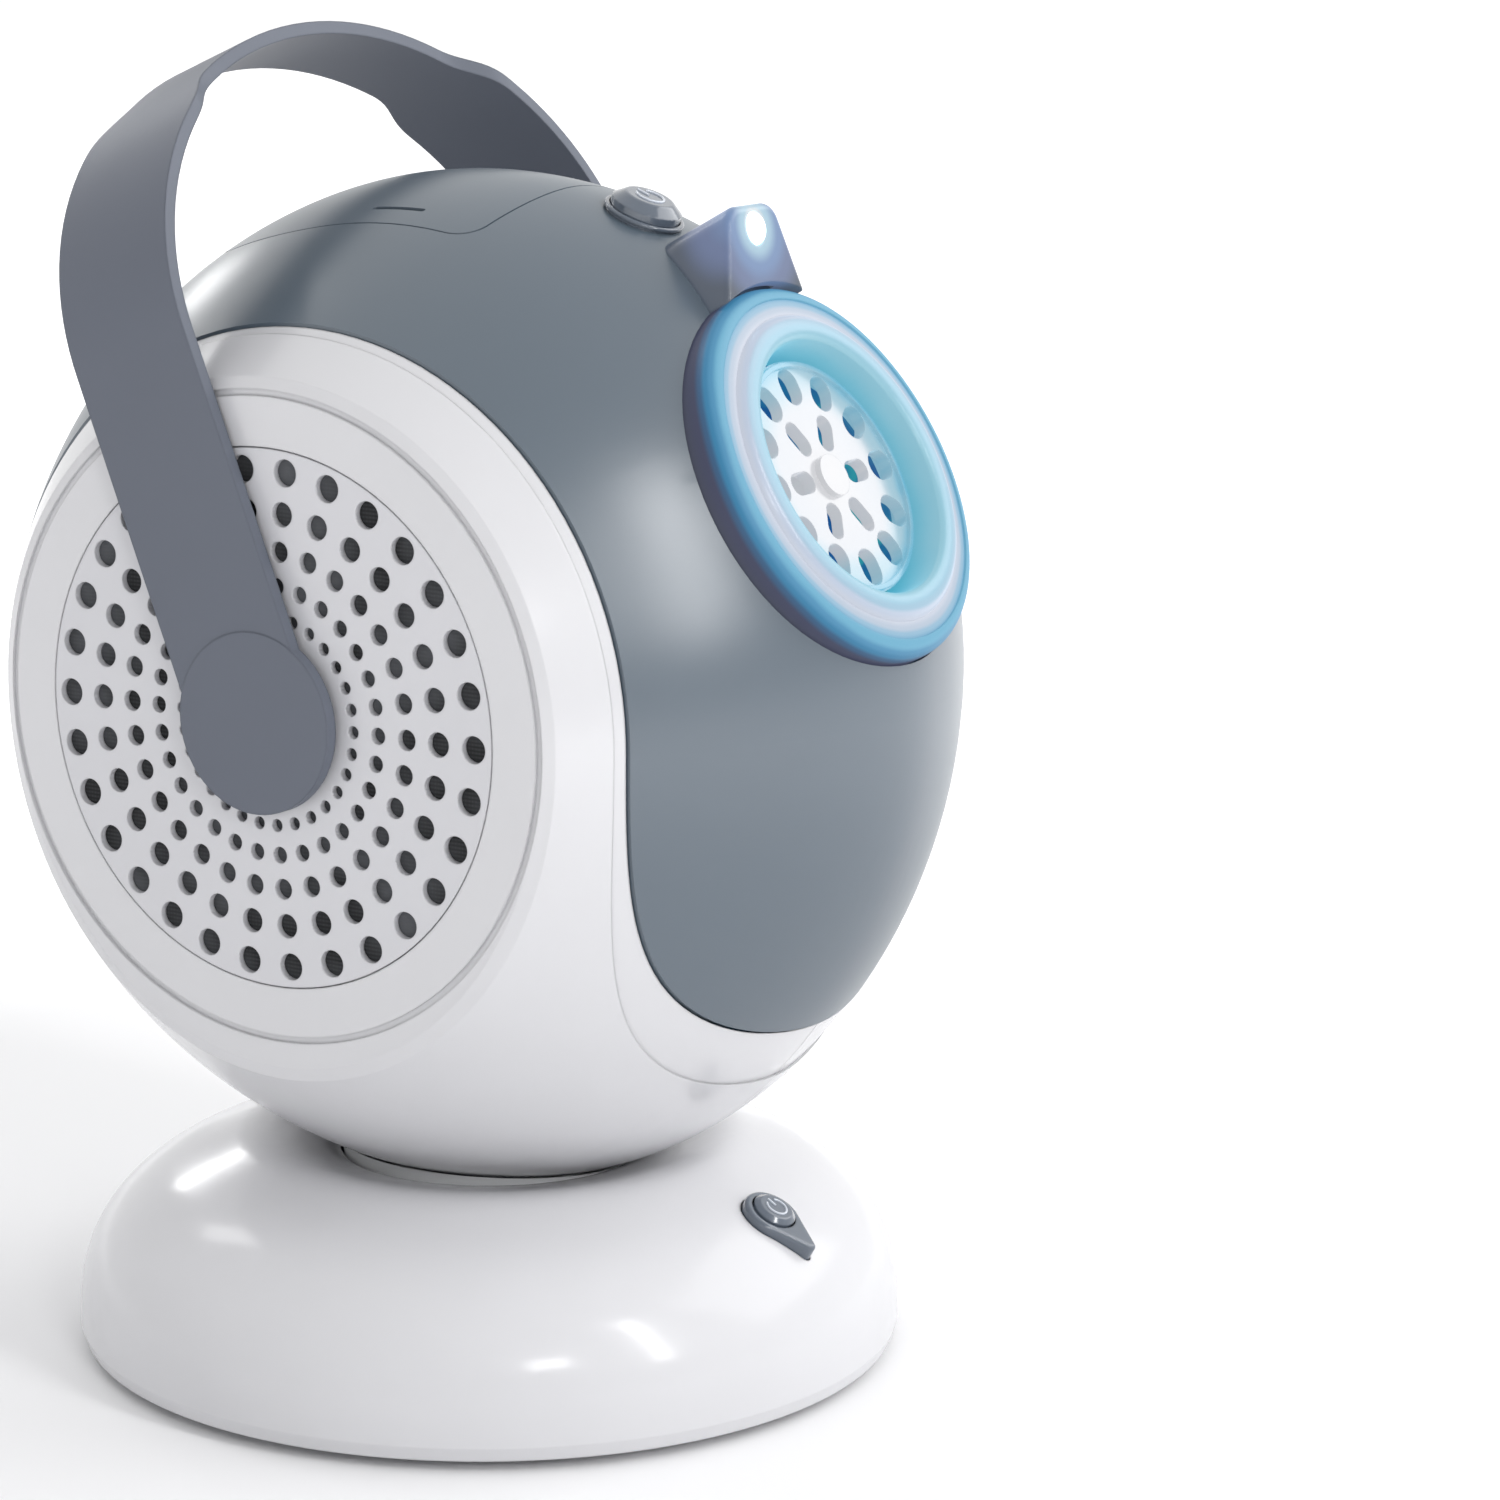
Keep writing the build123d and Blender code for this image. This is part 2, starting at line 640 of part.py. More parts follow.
with BuildPart() as inner_cone:
    with BuildSketch(NOZZLE_SECTION):
        with BuildLine():
            Spline((LIGHT_INNER, RIM_D), (28.2, 94.4), (25.6, 93.4), tangents=[(-0.5, 1), (-0.5, -1)])
            Polyline((25.6, 93.4), (CONE_THROAT, 84), (CONE_THROAT + 1.6, 84), (CONE_THROAT + 2.4, 88))
            Polyline((CONE_THROAT + 2.4, 88), (LIGHT_INNER, 90), (LIGHT_INNER, RIM_D))
        make_face()
    revolve(axis=NOZZLE_AXIS)
write(inner_cone, "inner_cone")


def round_part(name, *spans):
    """Rings stacked along the nozzle's axis, each (outer, inner, start, end), written as one node."""
    with BuildPart() as stack:
        for outer, inner, start, end in spans:
            with BuildSketch(NOZZLE.offset(start)):
                Circle(outer)
                if inner:
                    Circle(inner, mode=Mode.SUBTRACT)
            extrude(amount=end - start)
    write(stack, name)


LED_COUNT = 8
LED_RING = 32.7
BOARD_D = 82.8

round_part("led_board", (RIM_RADIUS - 0.4, 28.5, BOARD_D, BOARD_D + BOARD_THICK))

with BuildPart() as ring_leds:
    with BuildSketch(NOZZLE.offset(BOARD_D + BOARD_THICK)):
        with PolarLocations(LED_RING, LED_COUNT):
            Rectangle(2.8, 2.8)
    extrude(amount=1.2)
write(ring_leds, "ring_leds")

HOOD_FRONT = 97.0
HOOD_BACK = 70.0
HOOD_LOW = 35.5
HOOD_TOP = 52.4
HOOD_LOW_HALF = 13.6
HOOD_TOP_HALF = 7.8
HOOD_WALL = 2.0
HOOD_LEAN = 16.5
LAMP_DROP = 5.0
LAMP_RADIUS = 3.2
LAMP_DEEP = 3.4
LAMP_PROUD = 0.8
HOOD_CORNER = 4.6
HOOD_EDGE = 1.4

face_tilt = math.radians(NOZZLE_TILT - HOOD_LEAN)
HOOD_FACE = Plane(
    NOZZLE.from_local_coords((0, HOOD_TOP, HOOD_FRONT)),
    x_dir=(1, 0, 0),
    z_dir=(0, -math.cos(face_tilt), math.sin(face_tilt)),
)


def hood_section(inset):
    """Tapered section of the hood over the nozzle's top edge."""
    low, top = HOOD_LOW + inset, HOOD_TOP - inset
    with BuildSketch(mode=Mode.PRIVATE) as section:
        with BuildLine():
            Polyline((-HOOD_LOW_HALF + inset, low), (HOOD_LOW_HALF - inset, low), (HOOD_TOP_HALF - inset / 2, top),
                     (-HOOD_TOP_HALF + inset / 2, top), close=True)
        make_face()
        fillet(section.vertices().group_by(Axis.Y)[-1], HOOD_CORNER - inset)
    return section.sketch


def hood_form(inset):
    """The hood's form behind its leaning front face."""
    with BuildPart() as form:
        with BuildSketch(NOZZLE.offset(HOOD_BACK)):
            add(hood_section(inset))
        extrude(amount=HOOD_FRONT - HOOD_BACK + 1)
        split(bisect_by=HOOD_FACE.offset(-inset), keep=Keep.BOTTOM)
    return form


hood_outside = hood_form(0)
hood_inside = hood_form(HOOD_WALL)

with BuildPart() as nozzle_hood:
    add(hood_outside)
    fillet(nozzle_hood.edges().group_by(plane_axis(HOOD_FACE))[-1], HOOD_EDGE)
    add(hood_inside, mode=Mode.SUBTRACT)
    add(head_outer, mode=Mode.SUBTRACT)
    with BuildSketch(NOZZLE.offset(HOOD_BACK)):
        Circle(NOZZLE_RADIUS + SEAM)
    extrude(amount=RIM_D + 3 - HOOD_BACK, mode=Mode.SUBTRACT)
    with BuildSketch(HOOD_FACE.offset(-HOOD_WALL - 1)):
        with Locations((0, -LAMP_DROP)):
            Circle(LAMP_RADIUS + 0.1)
    extrude(amount=HOOD_WALL + 2, mode=Mode.SUBTRACT)
write(nozzle_hood, "nozzle_hood")

with BuildPart() as hood_lamp:
    with BuildSketch(HOOD_FACE.offset(LAMP_PROUD - LAMP_DEEP)):
        with Locations((0, -LAMP_DROP)):
            Circle(LAMP_RADIUS)
    extrude(amount=LAMP_DEEP)
    fillet(hood_lamp.edges().group_by(plane_axis(HOOD_FACE))[-1], 1.5)
write(hood_lamp, "hood_lamp")

# ---------------------------------------------------------------- bubble wheel and its drive
WHEEL_THICK = 2.6
SHAFT_RADIUS = 2.0
HUB_RADIUS = 4.2
WHEEL_LOOPS = 12
CARRIER_D = 66.0
CARRIER_THICK = 3.0
DRIVE_D = 70.4
DRIVE_THICK = 3.0
DRIVE_RADIUS = 10.6
DRIVE_PINION = 3.6
DRIVE_OFFSET = 15.0

with BuildPart() as bubble_wheel:
    with BuildSketch(NOZZLE.offset(WHEEL_D)):
        Circle(WHEEL_RADIUS)
        with PolarLocations(18.4, WHEEL_LOOPS):
            SlotOverall(7.4, 6.0, mode=Mode.SUBTRACT)
        with PolarLocations(9.6, WHEEL_LOOPS // 2):
            SlotOverall(7.6, 4.4, mode=Mode.SUBTRACT)
    extrude(amount=WHEEL_THICK)
    with BuildSketch(NOZZLE.offset(WHEEL_D - 0.8)):
        Circle(WHEEL_RADIUS - 0.4)
        Circle(WHEEL_RADIUS - 1.4, mode=Mode.SUBTRACT)
    extrude(amount=WHEEL_THICK + 1.6)
    with BuildSketch(NOZZLE.offset(DRIVE_D + DRIVE_THICK)):
        Circle(HUB_RADIUS)
    extrude(amount=WHEEL_D + WHEEL_THICK + 1.2 - DRIVE_D - DRIVE_THICK)
    with BuildSketch(NOZZLE.offset(CARRIER_D - 1)):
        Circle(SHAFT_RADIUS)
    extrude(amount=DRIVE_D - CARRIER_D + 1)
    with BuildSketch(NOZZLE.offset(DRIVE_D)):
        Circle(DRIVE_RADIUS - 0.8)
        with PolarLocations(DRIVE_RADIUS - 0.8, 30):
            Rectangle(1.4, 1.0)
    extrude(amount=DRIVE_THICK)
write(bubble_wheel, "bubble_wheel")

with BuildPart() as wheel_carrier:
    with BuildSketch(NOZZLE.offset(CARRIER_D)):
        Circle(DUCT_RADIUS - 0.1)
        Circle(DUCT_RADIUS - 2.4, mode=Mode.SUBTRACT)
        Rectangle(2 * DUCT_RADIUS - 2, 5)
        Rectangle(5, 2 * DUCT_RADIUS - 2)
        Circle(5.5)
        with Locations((DRIVE_OFFSET, 0)):
            Circle(6.4)
        Circle(SHAFT_RADIUS + RUNNING_FIT, mode=Mode.SUBTRACT)
        with Locations((DRIVE_OFFSET, 0)):
            Circle(2.2, mode=Mode.SUBTRACT)
    extrude(amount=CARRIER_THICK)
write(wheel_carrier, "wheel_carrier")

with BuildPart() as wheel_motor:
    with BuildSketch(NOZZLE.offset(CARRIER_D - 16)):
        with Locations((DRIVE_OFFSET, 0)):
            Circle(6)
    extrude(amount=16)
    with BuildSketch(NOZZLE.offset(CARRIER_D)):
        with Locations((DRIVE_OFFSET, 0)):
            Circle(0.9)
    extrude(amount=DRIVE_D + DRIVE_THICK - CARRIER_D)
write(wheel_motor, "wheel_motor")

with BuildPart() as wheel_pinion:
    with BuildSketch(NOZZLE.offset(DRIVE_D)):
        with Locations((DRIVE_OFFSET, 0)):
            Circle(DRIVE_PINION - 0.8)
            with PolarLocations(DRIVE_PINION - 0.8, 10):
                Rectangle(1.2, 0.9)
            Circle(0.9 + RUNNING_FIT, mode=Mode.SUBTRACT)
    extrude(amount=DRIVE_THICK)
write(wheel_pinion, "wheel_pinion")

# ---------------------------------------------------------------- duct and fan
DUCT_START = 30.0
DUCT_END = 83.8
DUCT_WALL = 1.6
FAN_D = 40.0
FAN_DEPTH = 9.0
FAN_HUB = 8.0
FAN_BLADES = 7
FAN_SHAFT = 1.2
BLADE_TURN = 38.0

round_part("air_duct", (DUCT_RADIUS + DUCT_WALL, DUCT_RADIUS, DUCT_START, DUCT_END - 1.2))

with BuildPart() as fan_impeller:
    with BuildSketch(NOZZLE.offset(FAN_D)):
        Circle(FAN_HUB)
    extrude(amount=FAN_DEPTH)
    with BuildSketch(NOZZLE.offset(FAN_D)):
        Circle(FAN_SHAFT + RUNNING_FIT)
    extrude(amount=FAN_DEPTH, mode=Mode.SUBTRACT)
for i in range(FAN_BLADES):
    blade = Rot(0, 0, 360 * i / FAN_BLADES) * Pos(15.2, 0, FAN_DEPTH / 2) * Rot(BLADE_TURN, 0, 0) * Box(17, 10, 1.2)
    fan_impeller.part += NOZZLE.offset(FAN_D).location * blade
write(fan_impeller, "fan_impeller")

with BuildPart() as fan_motor:
    with BuildSketch(NOZZLE.offset(10)):
        Circle(10)
    extrude(amount=22)
    with BuildSketch(NOZZLE.offset(32)):
        Circle(FAN_SHAFT)
    extrude(amount=FAN_D + FAN_DEPTH - 32)
write(fan_motor, "fan_motor")

with BuildPart() as fan_bracket:
    with BuildSketch(NOZZLE.offset(26)):
        Circle(DUCT_RADIUS + DUCT_WALL)
        Circle(DUCT_RADIUS - 2.4, mode=Mode.SUBTRACT)
        with PolarLocations(17, 3, start_angle=90):
            Rectangle(16, 4)
        Circle(12)
        Circle(10, mode=Mode.SUBTRACT)
    extrude(amount=DUCT_START - 26)
write(fan_bracket, "fan_bracket")

TRAY_INNER = 26.9
TRAY_OUTER = 28.6

with BuildPart() as drip_tray:
    with BuildSketch(NOZZLE.offset(DUCT_END - 1.2)):
        Circle(TRAY_OUTER + 5.4)
        Circle(TRAY_INNER, mode=Mode.SUBTRACT)
        with Locations((0, 12)):
            Rectangle(80, 60, mode=Mode.SUBTRACT)
    extrude(amount=-14)
    with BuildSketch(NOZZLE.offset(DUCT_END - 2.6)):
        Circle(TRAY_OUTER + 4)
        Circle(TRAY_INNER + 1.8, mode=Mode.SUBTRACT)
        with Locations((0, 12)):
            Rectangle(80, 61.6, mode=Mode.SUBTRACT)
    extrude(amount=-11, mode=Mode.SUBTRACT)
write(drip_tray, "drip_tray")

# ---------------------------------------------------------------- tank, lid and pump
TANK_SHRINK = 3.0
TANK_LOW = 43.0
TANK_WALL = 1.8
TANK_TOP_INSET = 7.5
MOUTH_SHRINK = 8.0
SEAL_GAP = 0.9
SEAL_WALL = 2.0
SEAL_DEPTH = 4.0
SLOT_X = -26.5
SLOT_Y = 2.5
SLOT_LENGTH = 12.0
SLOT_WIDTH = 1.1

tank_form = head_form(TANK_TOP_INSET)
tank_outside = lid_prism(TANK_SHRINK, TANK_LOW, 120)
tank_inside = lid_prism(TANK_SHRINK + TANK_WALL, TANK_LOW + TANK_WALL, 120)

with BuildPart() as bubble_tank:
    add(tank_form)
    add(tank_outside, mode=Mode.INTERSECT)
    add(tank_inside, mode=Mode.SUBTRACT)
write(bubble_tank, "bubble_tank")

collar_outside = lid_prism(-3, 60, 120)
mouth = lid_prism(MOUTH_SHRINK, 50, 120)

with BuildPart() as tank_collar:
    add(head_inner)
    add(collar_outside, mode=Mode.INTERSECT)
    add(tank_form, mode=Mode.SUBTRACT)
    add(mouth, mode=Mode.SUBTRACT)
write(tank_collar, "tank_collar")

lid_space = lid_prism(0, 40, 120)

with BuildPart() as tank_lid:
    add(head_outer)
    add(head_inner, mode=Mode.SUBTRACT)
    add(lid_space, mode=Mode.INTERSECT)
    with BuildSketch(Plane.XY.offset(HEAD_Z + 80)):
        with Locations((SLOT_X, SLOT_Y)):
            RectangleRounded(SLOT_WIDTH, SLOT_LENGTH, 0.5)
    extrude(amount=30, mode=Mode.SUBTRACT)
write(tank_lid, "tank_lid")

seal_floor = head_form(HEAD_WALL + SEAL_DEPTH)
seal_outside = lid_prism(MOUTH_SHRINK + SEAL_GAP, 60, 120)
seal_inside = lid_prism(MOUTH_SHRINK + SEAL_GAP + SEAL_WALL, 60, 120)

with BuildPart() as lid_seal:
    add(head_inner)
    add(seal_outside, mode=Mode.INTERSECT)
    add(seal_floor, mode=Mode.SUBTRACT)
    add(seal_inside, mode=Mode.SUBTRACT)
write(lid_seal, "lid_seal")

PUMP_Y = 34.0
HOSE_RADIUS = 2.4
HOSE_X = 12.0
PUMP_TOP = 24.0

with BuildPart() as pump:
    with BuildSketch(Plane.XY.offset(HEAD_Z - 4)):
        with Locations((HOSE_X, PUMP_Y)):
            RectangleRounded(24, 22, 3)
    extrude(amount=PUMP_TOP + 4)
    with BuildSketch(Plane.XY.offset(HEAD_Z - 22)):
        with Locations((HOSE_X, PUMP_Y)):
            Circle(9)
    extrude(amount=18)
write(pump, "pump")

with BuildPart() as feed_hose:
    with BuildSketch(Plane.XY.offset(HEAD_Z + PUMP_TOP)):
        with Locations((HOSE_X, PUMP_Y)):
            Circle(HOSE_RADIUS)
            Circle(HOSE_RADIUS - 0.9, mode=Mode.SUBTRACT)
    extrude(amount=TANK_LOW - PUMP_TOP)
write(feed_hose, "feed_hose")

# ---------------------------------------------------------------- top button and head electronics
BEZEL_LOW = -5.0
BEZEL_HIGH = 0.7
HEAD_BOARD_SINK = 15.0

with BuildPart() as button_bezel:
    with BuildSketch(BUTTON.offset(BEZEL_LOW)):
        Circle(BUTTON_RADIUS + 0.6)
    extrude(amount=-BEZEL_LOW + 0.1)
    with BuildSketch(BUTTON.offset(0.1)):
        Circle(BUTTON_BEZEL)
    extrude(amount=BEZEL_HIGH)
    fillet(button_bezel.edges().group_by(plane_axis(BUTTON))[-1], 0.4)
    with BuildSketch(BUTTON.offset(BEZEL_LOW)):
        Circle(BUTTON_RADIUS + 0.2)
    extrude(amount=12, mode=Mode.SUBTRACT)
write(button_bezel, "top_button_bezel")

CAP_SIDE = 1.5
CAP_DOME = 1.7
domed_cap(BUTTON, BUTTON_RADIUS, BEZEL_LOW - 1.6, BEZEL_HIGH + CAP_SIDE, CAP_DOME, "top_button")

with BuildPart() as top_board:
    with BuildSketch(BUTTON.offset(-HEAD_BOARD_SINK)):
        Rectangle(28, 16)
    extrude(amount=BOARD_THICK)
write(top_board, "top_circuit_board")

with BuildPart() as top_switch:
    with BuildSketch(BUTTON.offset(BOARD_THICK - HEAD_BOARD_SINK)):
        Rectangle(6, 6)
    extrude(amount=3.4)
    with BuildSketch(BUTTON.offset(BOARD_THICK + 3.4 - HEAD_BOARD_SINK)):
        Circle(1.7)
    extrude(amount=1.4)
write(top_switch, "top_switch")

MAIN_BOARD_Y = 58.0

with BuildPart() as main_board:
    with BuildSketch(Plane.XZ.offset(-MAIN_BOARD_Y)):
        with Locations((0, HEAD_Z - 15)):
            Rectangle(56, 40)
    extrude(amount=BOARD_THICK)
write(main_board, "main_circuit_board")

with BuildPart() as main_board_parts:
    with BuildSketch(Plane.XZ.offset(BOARD_THICK - MAIN_BOARD_Y)):
        with Locations((-14, HEAD_Z - 20)):
            Rectangle(12, 12)
        with GridLocations(14, 12, 2, 2):
            with Locations((14, HEAD_Z - 14)):
                Rectangle(6, 5)
    extrude(amount=2)
    with BuildSketch(Plane.XZ.offset(BOARD_THICK - MAIN_BOARD_Y)):
        with Locations((-20, HEAD_Z - 2), (-6, HEAD_Z - 2)):
            Circle(3.2)
    extrude(amount=9)
write(main_board_parts, "main_board_components")

# ---------------------------------------------------------------- swivel
COLLAR_LOW = 30.6
NECK_TOP = 50.0

head_clearance = head_form(-SEAM)

with BuildPart() as swivel_column:
    with BuildSketch(Plane.XY.offset(COLLAR_LOW)):
        Circle(SWIVEL_RADIUS)
    extrude(amount=20)
    add(head_clearance, mode=Mode.SUBTRACT)
    with BuildSketch(Plane.XY.offset(COLLAR_LOW)):
        Circle(NECK_HOLE - SEAM)
    extrude(amount=NECK_TOP - COLLAR_LOW)
    with BuildSketch(Plane.XY.offset(BEARING_Z + 0.4)):
        Circle(COLUMN_RADIUS)
    extrude(amount=COLLAR_LOW - BEARING_Z)
    with BuildSketch(Plane.XY.offset(BEARING_Z)):
        Circle(COLUMN_RADIUS - 2.6)
    extrude(amount=NECK_TOP, mode=Mode.SUBTRACT)
    with BuildSketch(Plane.XY.offset(COLLAR_LOW + 3)):
        Circle(NECK_HOLE - SEAM - 2.4)
    extrude(amount=NECK_TOP, mode=Mode.SUBTRACT)
write(swivel_column, "swivel_column")

with BuildPart() as swivel_gear:
    with BuildSketch(Plane.XY.offset(GEAR_Z)):
        Circle(GEAR_RADIUS - 1)
        with PolarLocations(GEAR_RADIUS - 1, 52):
            Rectangle(1.8, 1.4)
        Circle(COLUMN_RADIUS, mode=Mode.SUBTRACT)
    extrude(amount=GEAR_THICK)
    with BuildSketch(Plane.XY.offset(GEAR_Z + GEAR_THICK)):
        Circle(GEAR_RADIUS - 4)
        Circle(COLUMN_RADIUS, mode=Mode.SUBTRACT)
    extrude(amount=COLLAR_LOW - GEAR_Z - GEAR_THICK)
write(swivel_gear, "swivel_gear")

# ---------------------------------------------------------------- handle
HANDLE_END = 150.0
PIN_SEAT = 1.4
WASHER_RADIUS = 9.5


def arch_section(inset):
    """Side-to-side section of the arch, drawn in by inset: straight legs and a round top."""
    foot = HANDLE_FOOT_X - inset
    knee = HANDLE_KNEE_X - inset
    with BuildSketch(mode=Mode.PRIVATE) as section:
        with Locations((0, HANDLE_KNEE)):
            Ellipse(knee, HANDLE_REACH - HANDLE_KNEE - inset)
        with BuildLine():
            Polyline((-foot, 0), (-knee, HANDLE_KNEE), (knee, HANDLE_KNEE), (foot, 0), close=True)
        make_face()
    return section.sketch


def strap_outline():
    """The strap seen along its lean: a slimmer grip in the middle, wide towards the legs."""
    start, end = GRIP_X, GRIP_X + GRIP_BLEND
    wide = HANDLE_HALF
    with BuildSketch(mode=Mode.PRIVATE) as outline:
        with BuildLine():
            Line((-start, GRIP_HALF), (start, GRIP_HALF))
            Spline((start, GRIP_HALF), (end, wide), tangents=[(1, 0), (1, 0)])
            Polyline((end, wide), (HANDLE_FOOT_X + 1, wide), (HANDLE_FOOT_X + 1, -wide), (end, -wide))
            Spline((end, -wide), (start, -GRIP_HALF), tangents=[(-1, 0), (-1, 0)])
            Line((start, -GRIP_HALF), (-start, -GRIP_HALF))
            Spline((-start, -GRIP_HALF), (-end, -wide), tangents=[(-1, 0), (-1, 0)])
            Polyline((-end, -wide), (-HANDLE_FOOT_X - 1, -wide), (-HANDLE_FOOT_X - 1, wide), (-end, wide))
            Spline((-end, wide), (-start, GRIP_HALF), tangents=[(1, 0), (1, 0)])
        make_face()
    return outline.sketch


with BuildPart() as handle_strap:
    with BuildSketch(HANDLE_FACE):
        add(arch_section(0))
        add(arch_section(HANDLE_THICK), mode=Mode.SUBTRACT)
    extrude(amount=HANDLE_HALF + 1, both=True)
    with BuildSketch(HANDLE_TOP.offset(-1)):
        add(strap_outline())
    extrude(amount=HANDLE_END, mode=Mode.INTERSECT)
    for plane in side_planes.values():
        with BuildSketch(plane.offset(HANDLE_FOOT_X - HANDLE_THICK)):
            Circle(BOSS_RADIUS)
        extrude(amount=HANDLE_THICK)
        with BuildSketch(plane.offset(HANDLE_FOOT_X - HANDLE_THICK - 1)):
            Circle(PIN_RADIUS + 0.03)
        extrude(amount=PIN_SEAT + 1, mode=Mode.SUBTRACT)
write(handle_strap, "handle_strap")

with BuildPart() as handle_pins:
    for plane in side_planes.values():
        with BuildSketch(plane.offset(SIDE_X - BUSH_DEPTH - 2)):
            Circle(PIN_RADIUS)
        extrude(amount=HANDLE_FOOT_X - HANDLE_THICK + PIN_SEAT - SIDE_X + BUSH_DEPTH + 2)
write(handle_pins, "handle_pins")

with BuildPart() as handle_washers:
    for plane in side_planes.values():
        with BuildSketch(plane.offset(SIDE_X + 0.25)):
            Circle(WASHER_RADIUS)
            Circle(PIN_RADIUS + 0.05, mode=Mode.SUBTRACT)
        extrude(amount=HANDLE_FOOT_X - HANDLE_THICK - SIDE_X - 0.5)
write(handle_washers, "handle_washers")

# ---------------------------------------------------------------- head screws
HEAD_SCREW_PLACES = ((-8, 50.0, -48.0), (-8, -50.0, -52.0), (-8, 62.0, -28.0))

with BuildPart() as head_screws:
    for x, y, z in HEAD_SCREW_PLACES:
        with BuildSketch(HEAD_RIGHT.offset(x)):
            with Locations((y, z)):
                Circle(SCREW_SHANK)
        extrude(amount=14)
        with BuildSketch(HEAD_RIGHT.offset(x - 1.6)):
            with Locations((y, z)):
                Circle(SCREW_HEAD)
        extrude(amount=1.6)
write(head_screws, "head_screws")
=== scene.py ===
import json
import math

import bmesh
import bpy
from mathutils import Matrix, Vector


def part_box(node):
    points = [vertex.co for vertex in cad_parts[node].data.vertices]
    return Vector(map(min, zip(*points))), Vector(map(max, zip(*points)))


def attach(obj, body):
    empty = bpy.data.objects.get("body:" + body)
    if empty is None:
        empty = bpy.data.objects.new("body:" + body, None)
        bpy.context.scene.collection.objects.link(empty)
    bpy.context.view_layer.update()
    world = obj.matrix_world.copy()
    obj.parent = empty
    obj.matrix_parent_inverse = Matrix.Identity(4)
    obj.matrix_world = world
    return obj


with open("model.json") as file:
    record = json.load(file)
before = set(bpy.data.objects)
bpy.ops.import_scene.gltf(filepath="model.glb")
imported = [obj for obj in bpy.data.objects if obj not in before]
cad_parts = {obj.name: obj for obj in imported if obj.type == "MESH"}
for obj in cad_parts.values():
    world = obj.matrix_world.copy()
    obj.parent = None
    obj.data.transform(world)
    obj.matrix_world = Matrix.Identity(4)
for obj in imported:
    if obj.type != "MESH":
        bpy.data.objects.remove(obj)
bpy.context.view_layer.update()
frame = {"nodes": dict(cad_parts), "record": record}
nodes = frame["nodes"]
joints = {joint["name"]: joint for joint in frame["record"]["behaviour"]["joints"]}
MM = 0.001

# ------------------------------------------------------------------ places taken from the frame
disc_low, disc_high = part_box("left_grille")
HEAD_CENTRE = Vector((0.0, (disc_low[1] + disc_high[1]) / 2, (disc_low[2] + disc_high[2]) / 2))
NOZZLE_AXIS = Vector(joints["bubble_wheel_spin"]["axis"]).normalized()


def points_of(name):
    return [v.co for v in nodes[name].data.vertices]


def nozzle_reach(point):
    """How far a point lies from the head's centre, measured along the nozzle's axis."""
    return (point - HEAD_CENTRE).dot(NOZZLE_AXIS)


RIM_REACH = max(nozzle_reach(point) for point in points_of("light_ring"))
lamp_points = points_of("hood_lamp")
lamp_middle = sum(lamp_points, Vector()) / len(lamp_points)
lamp_reach = max(nozzle_reach(point) for point in lamp_points)
LAMP_FACE = lamp_middle + NOZZLE_AXIS * (lamp_reach - nozzle_reach(lamp_middle))


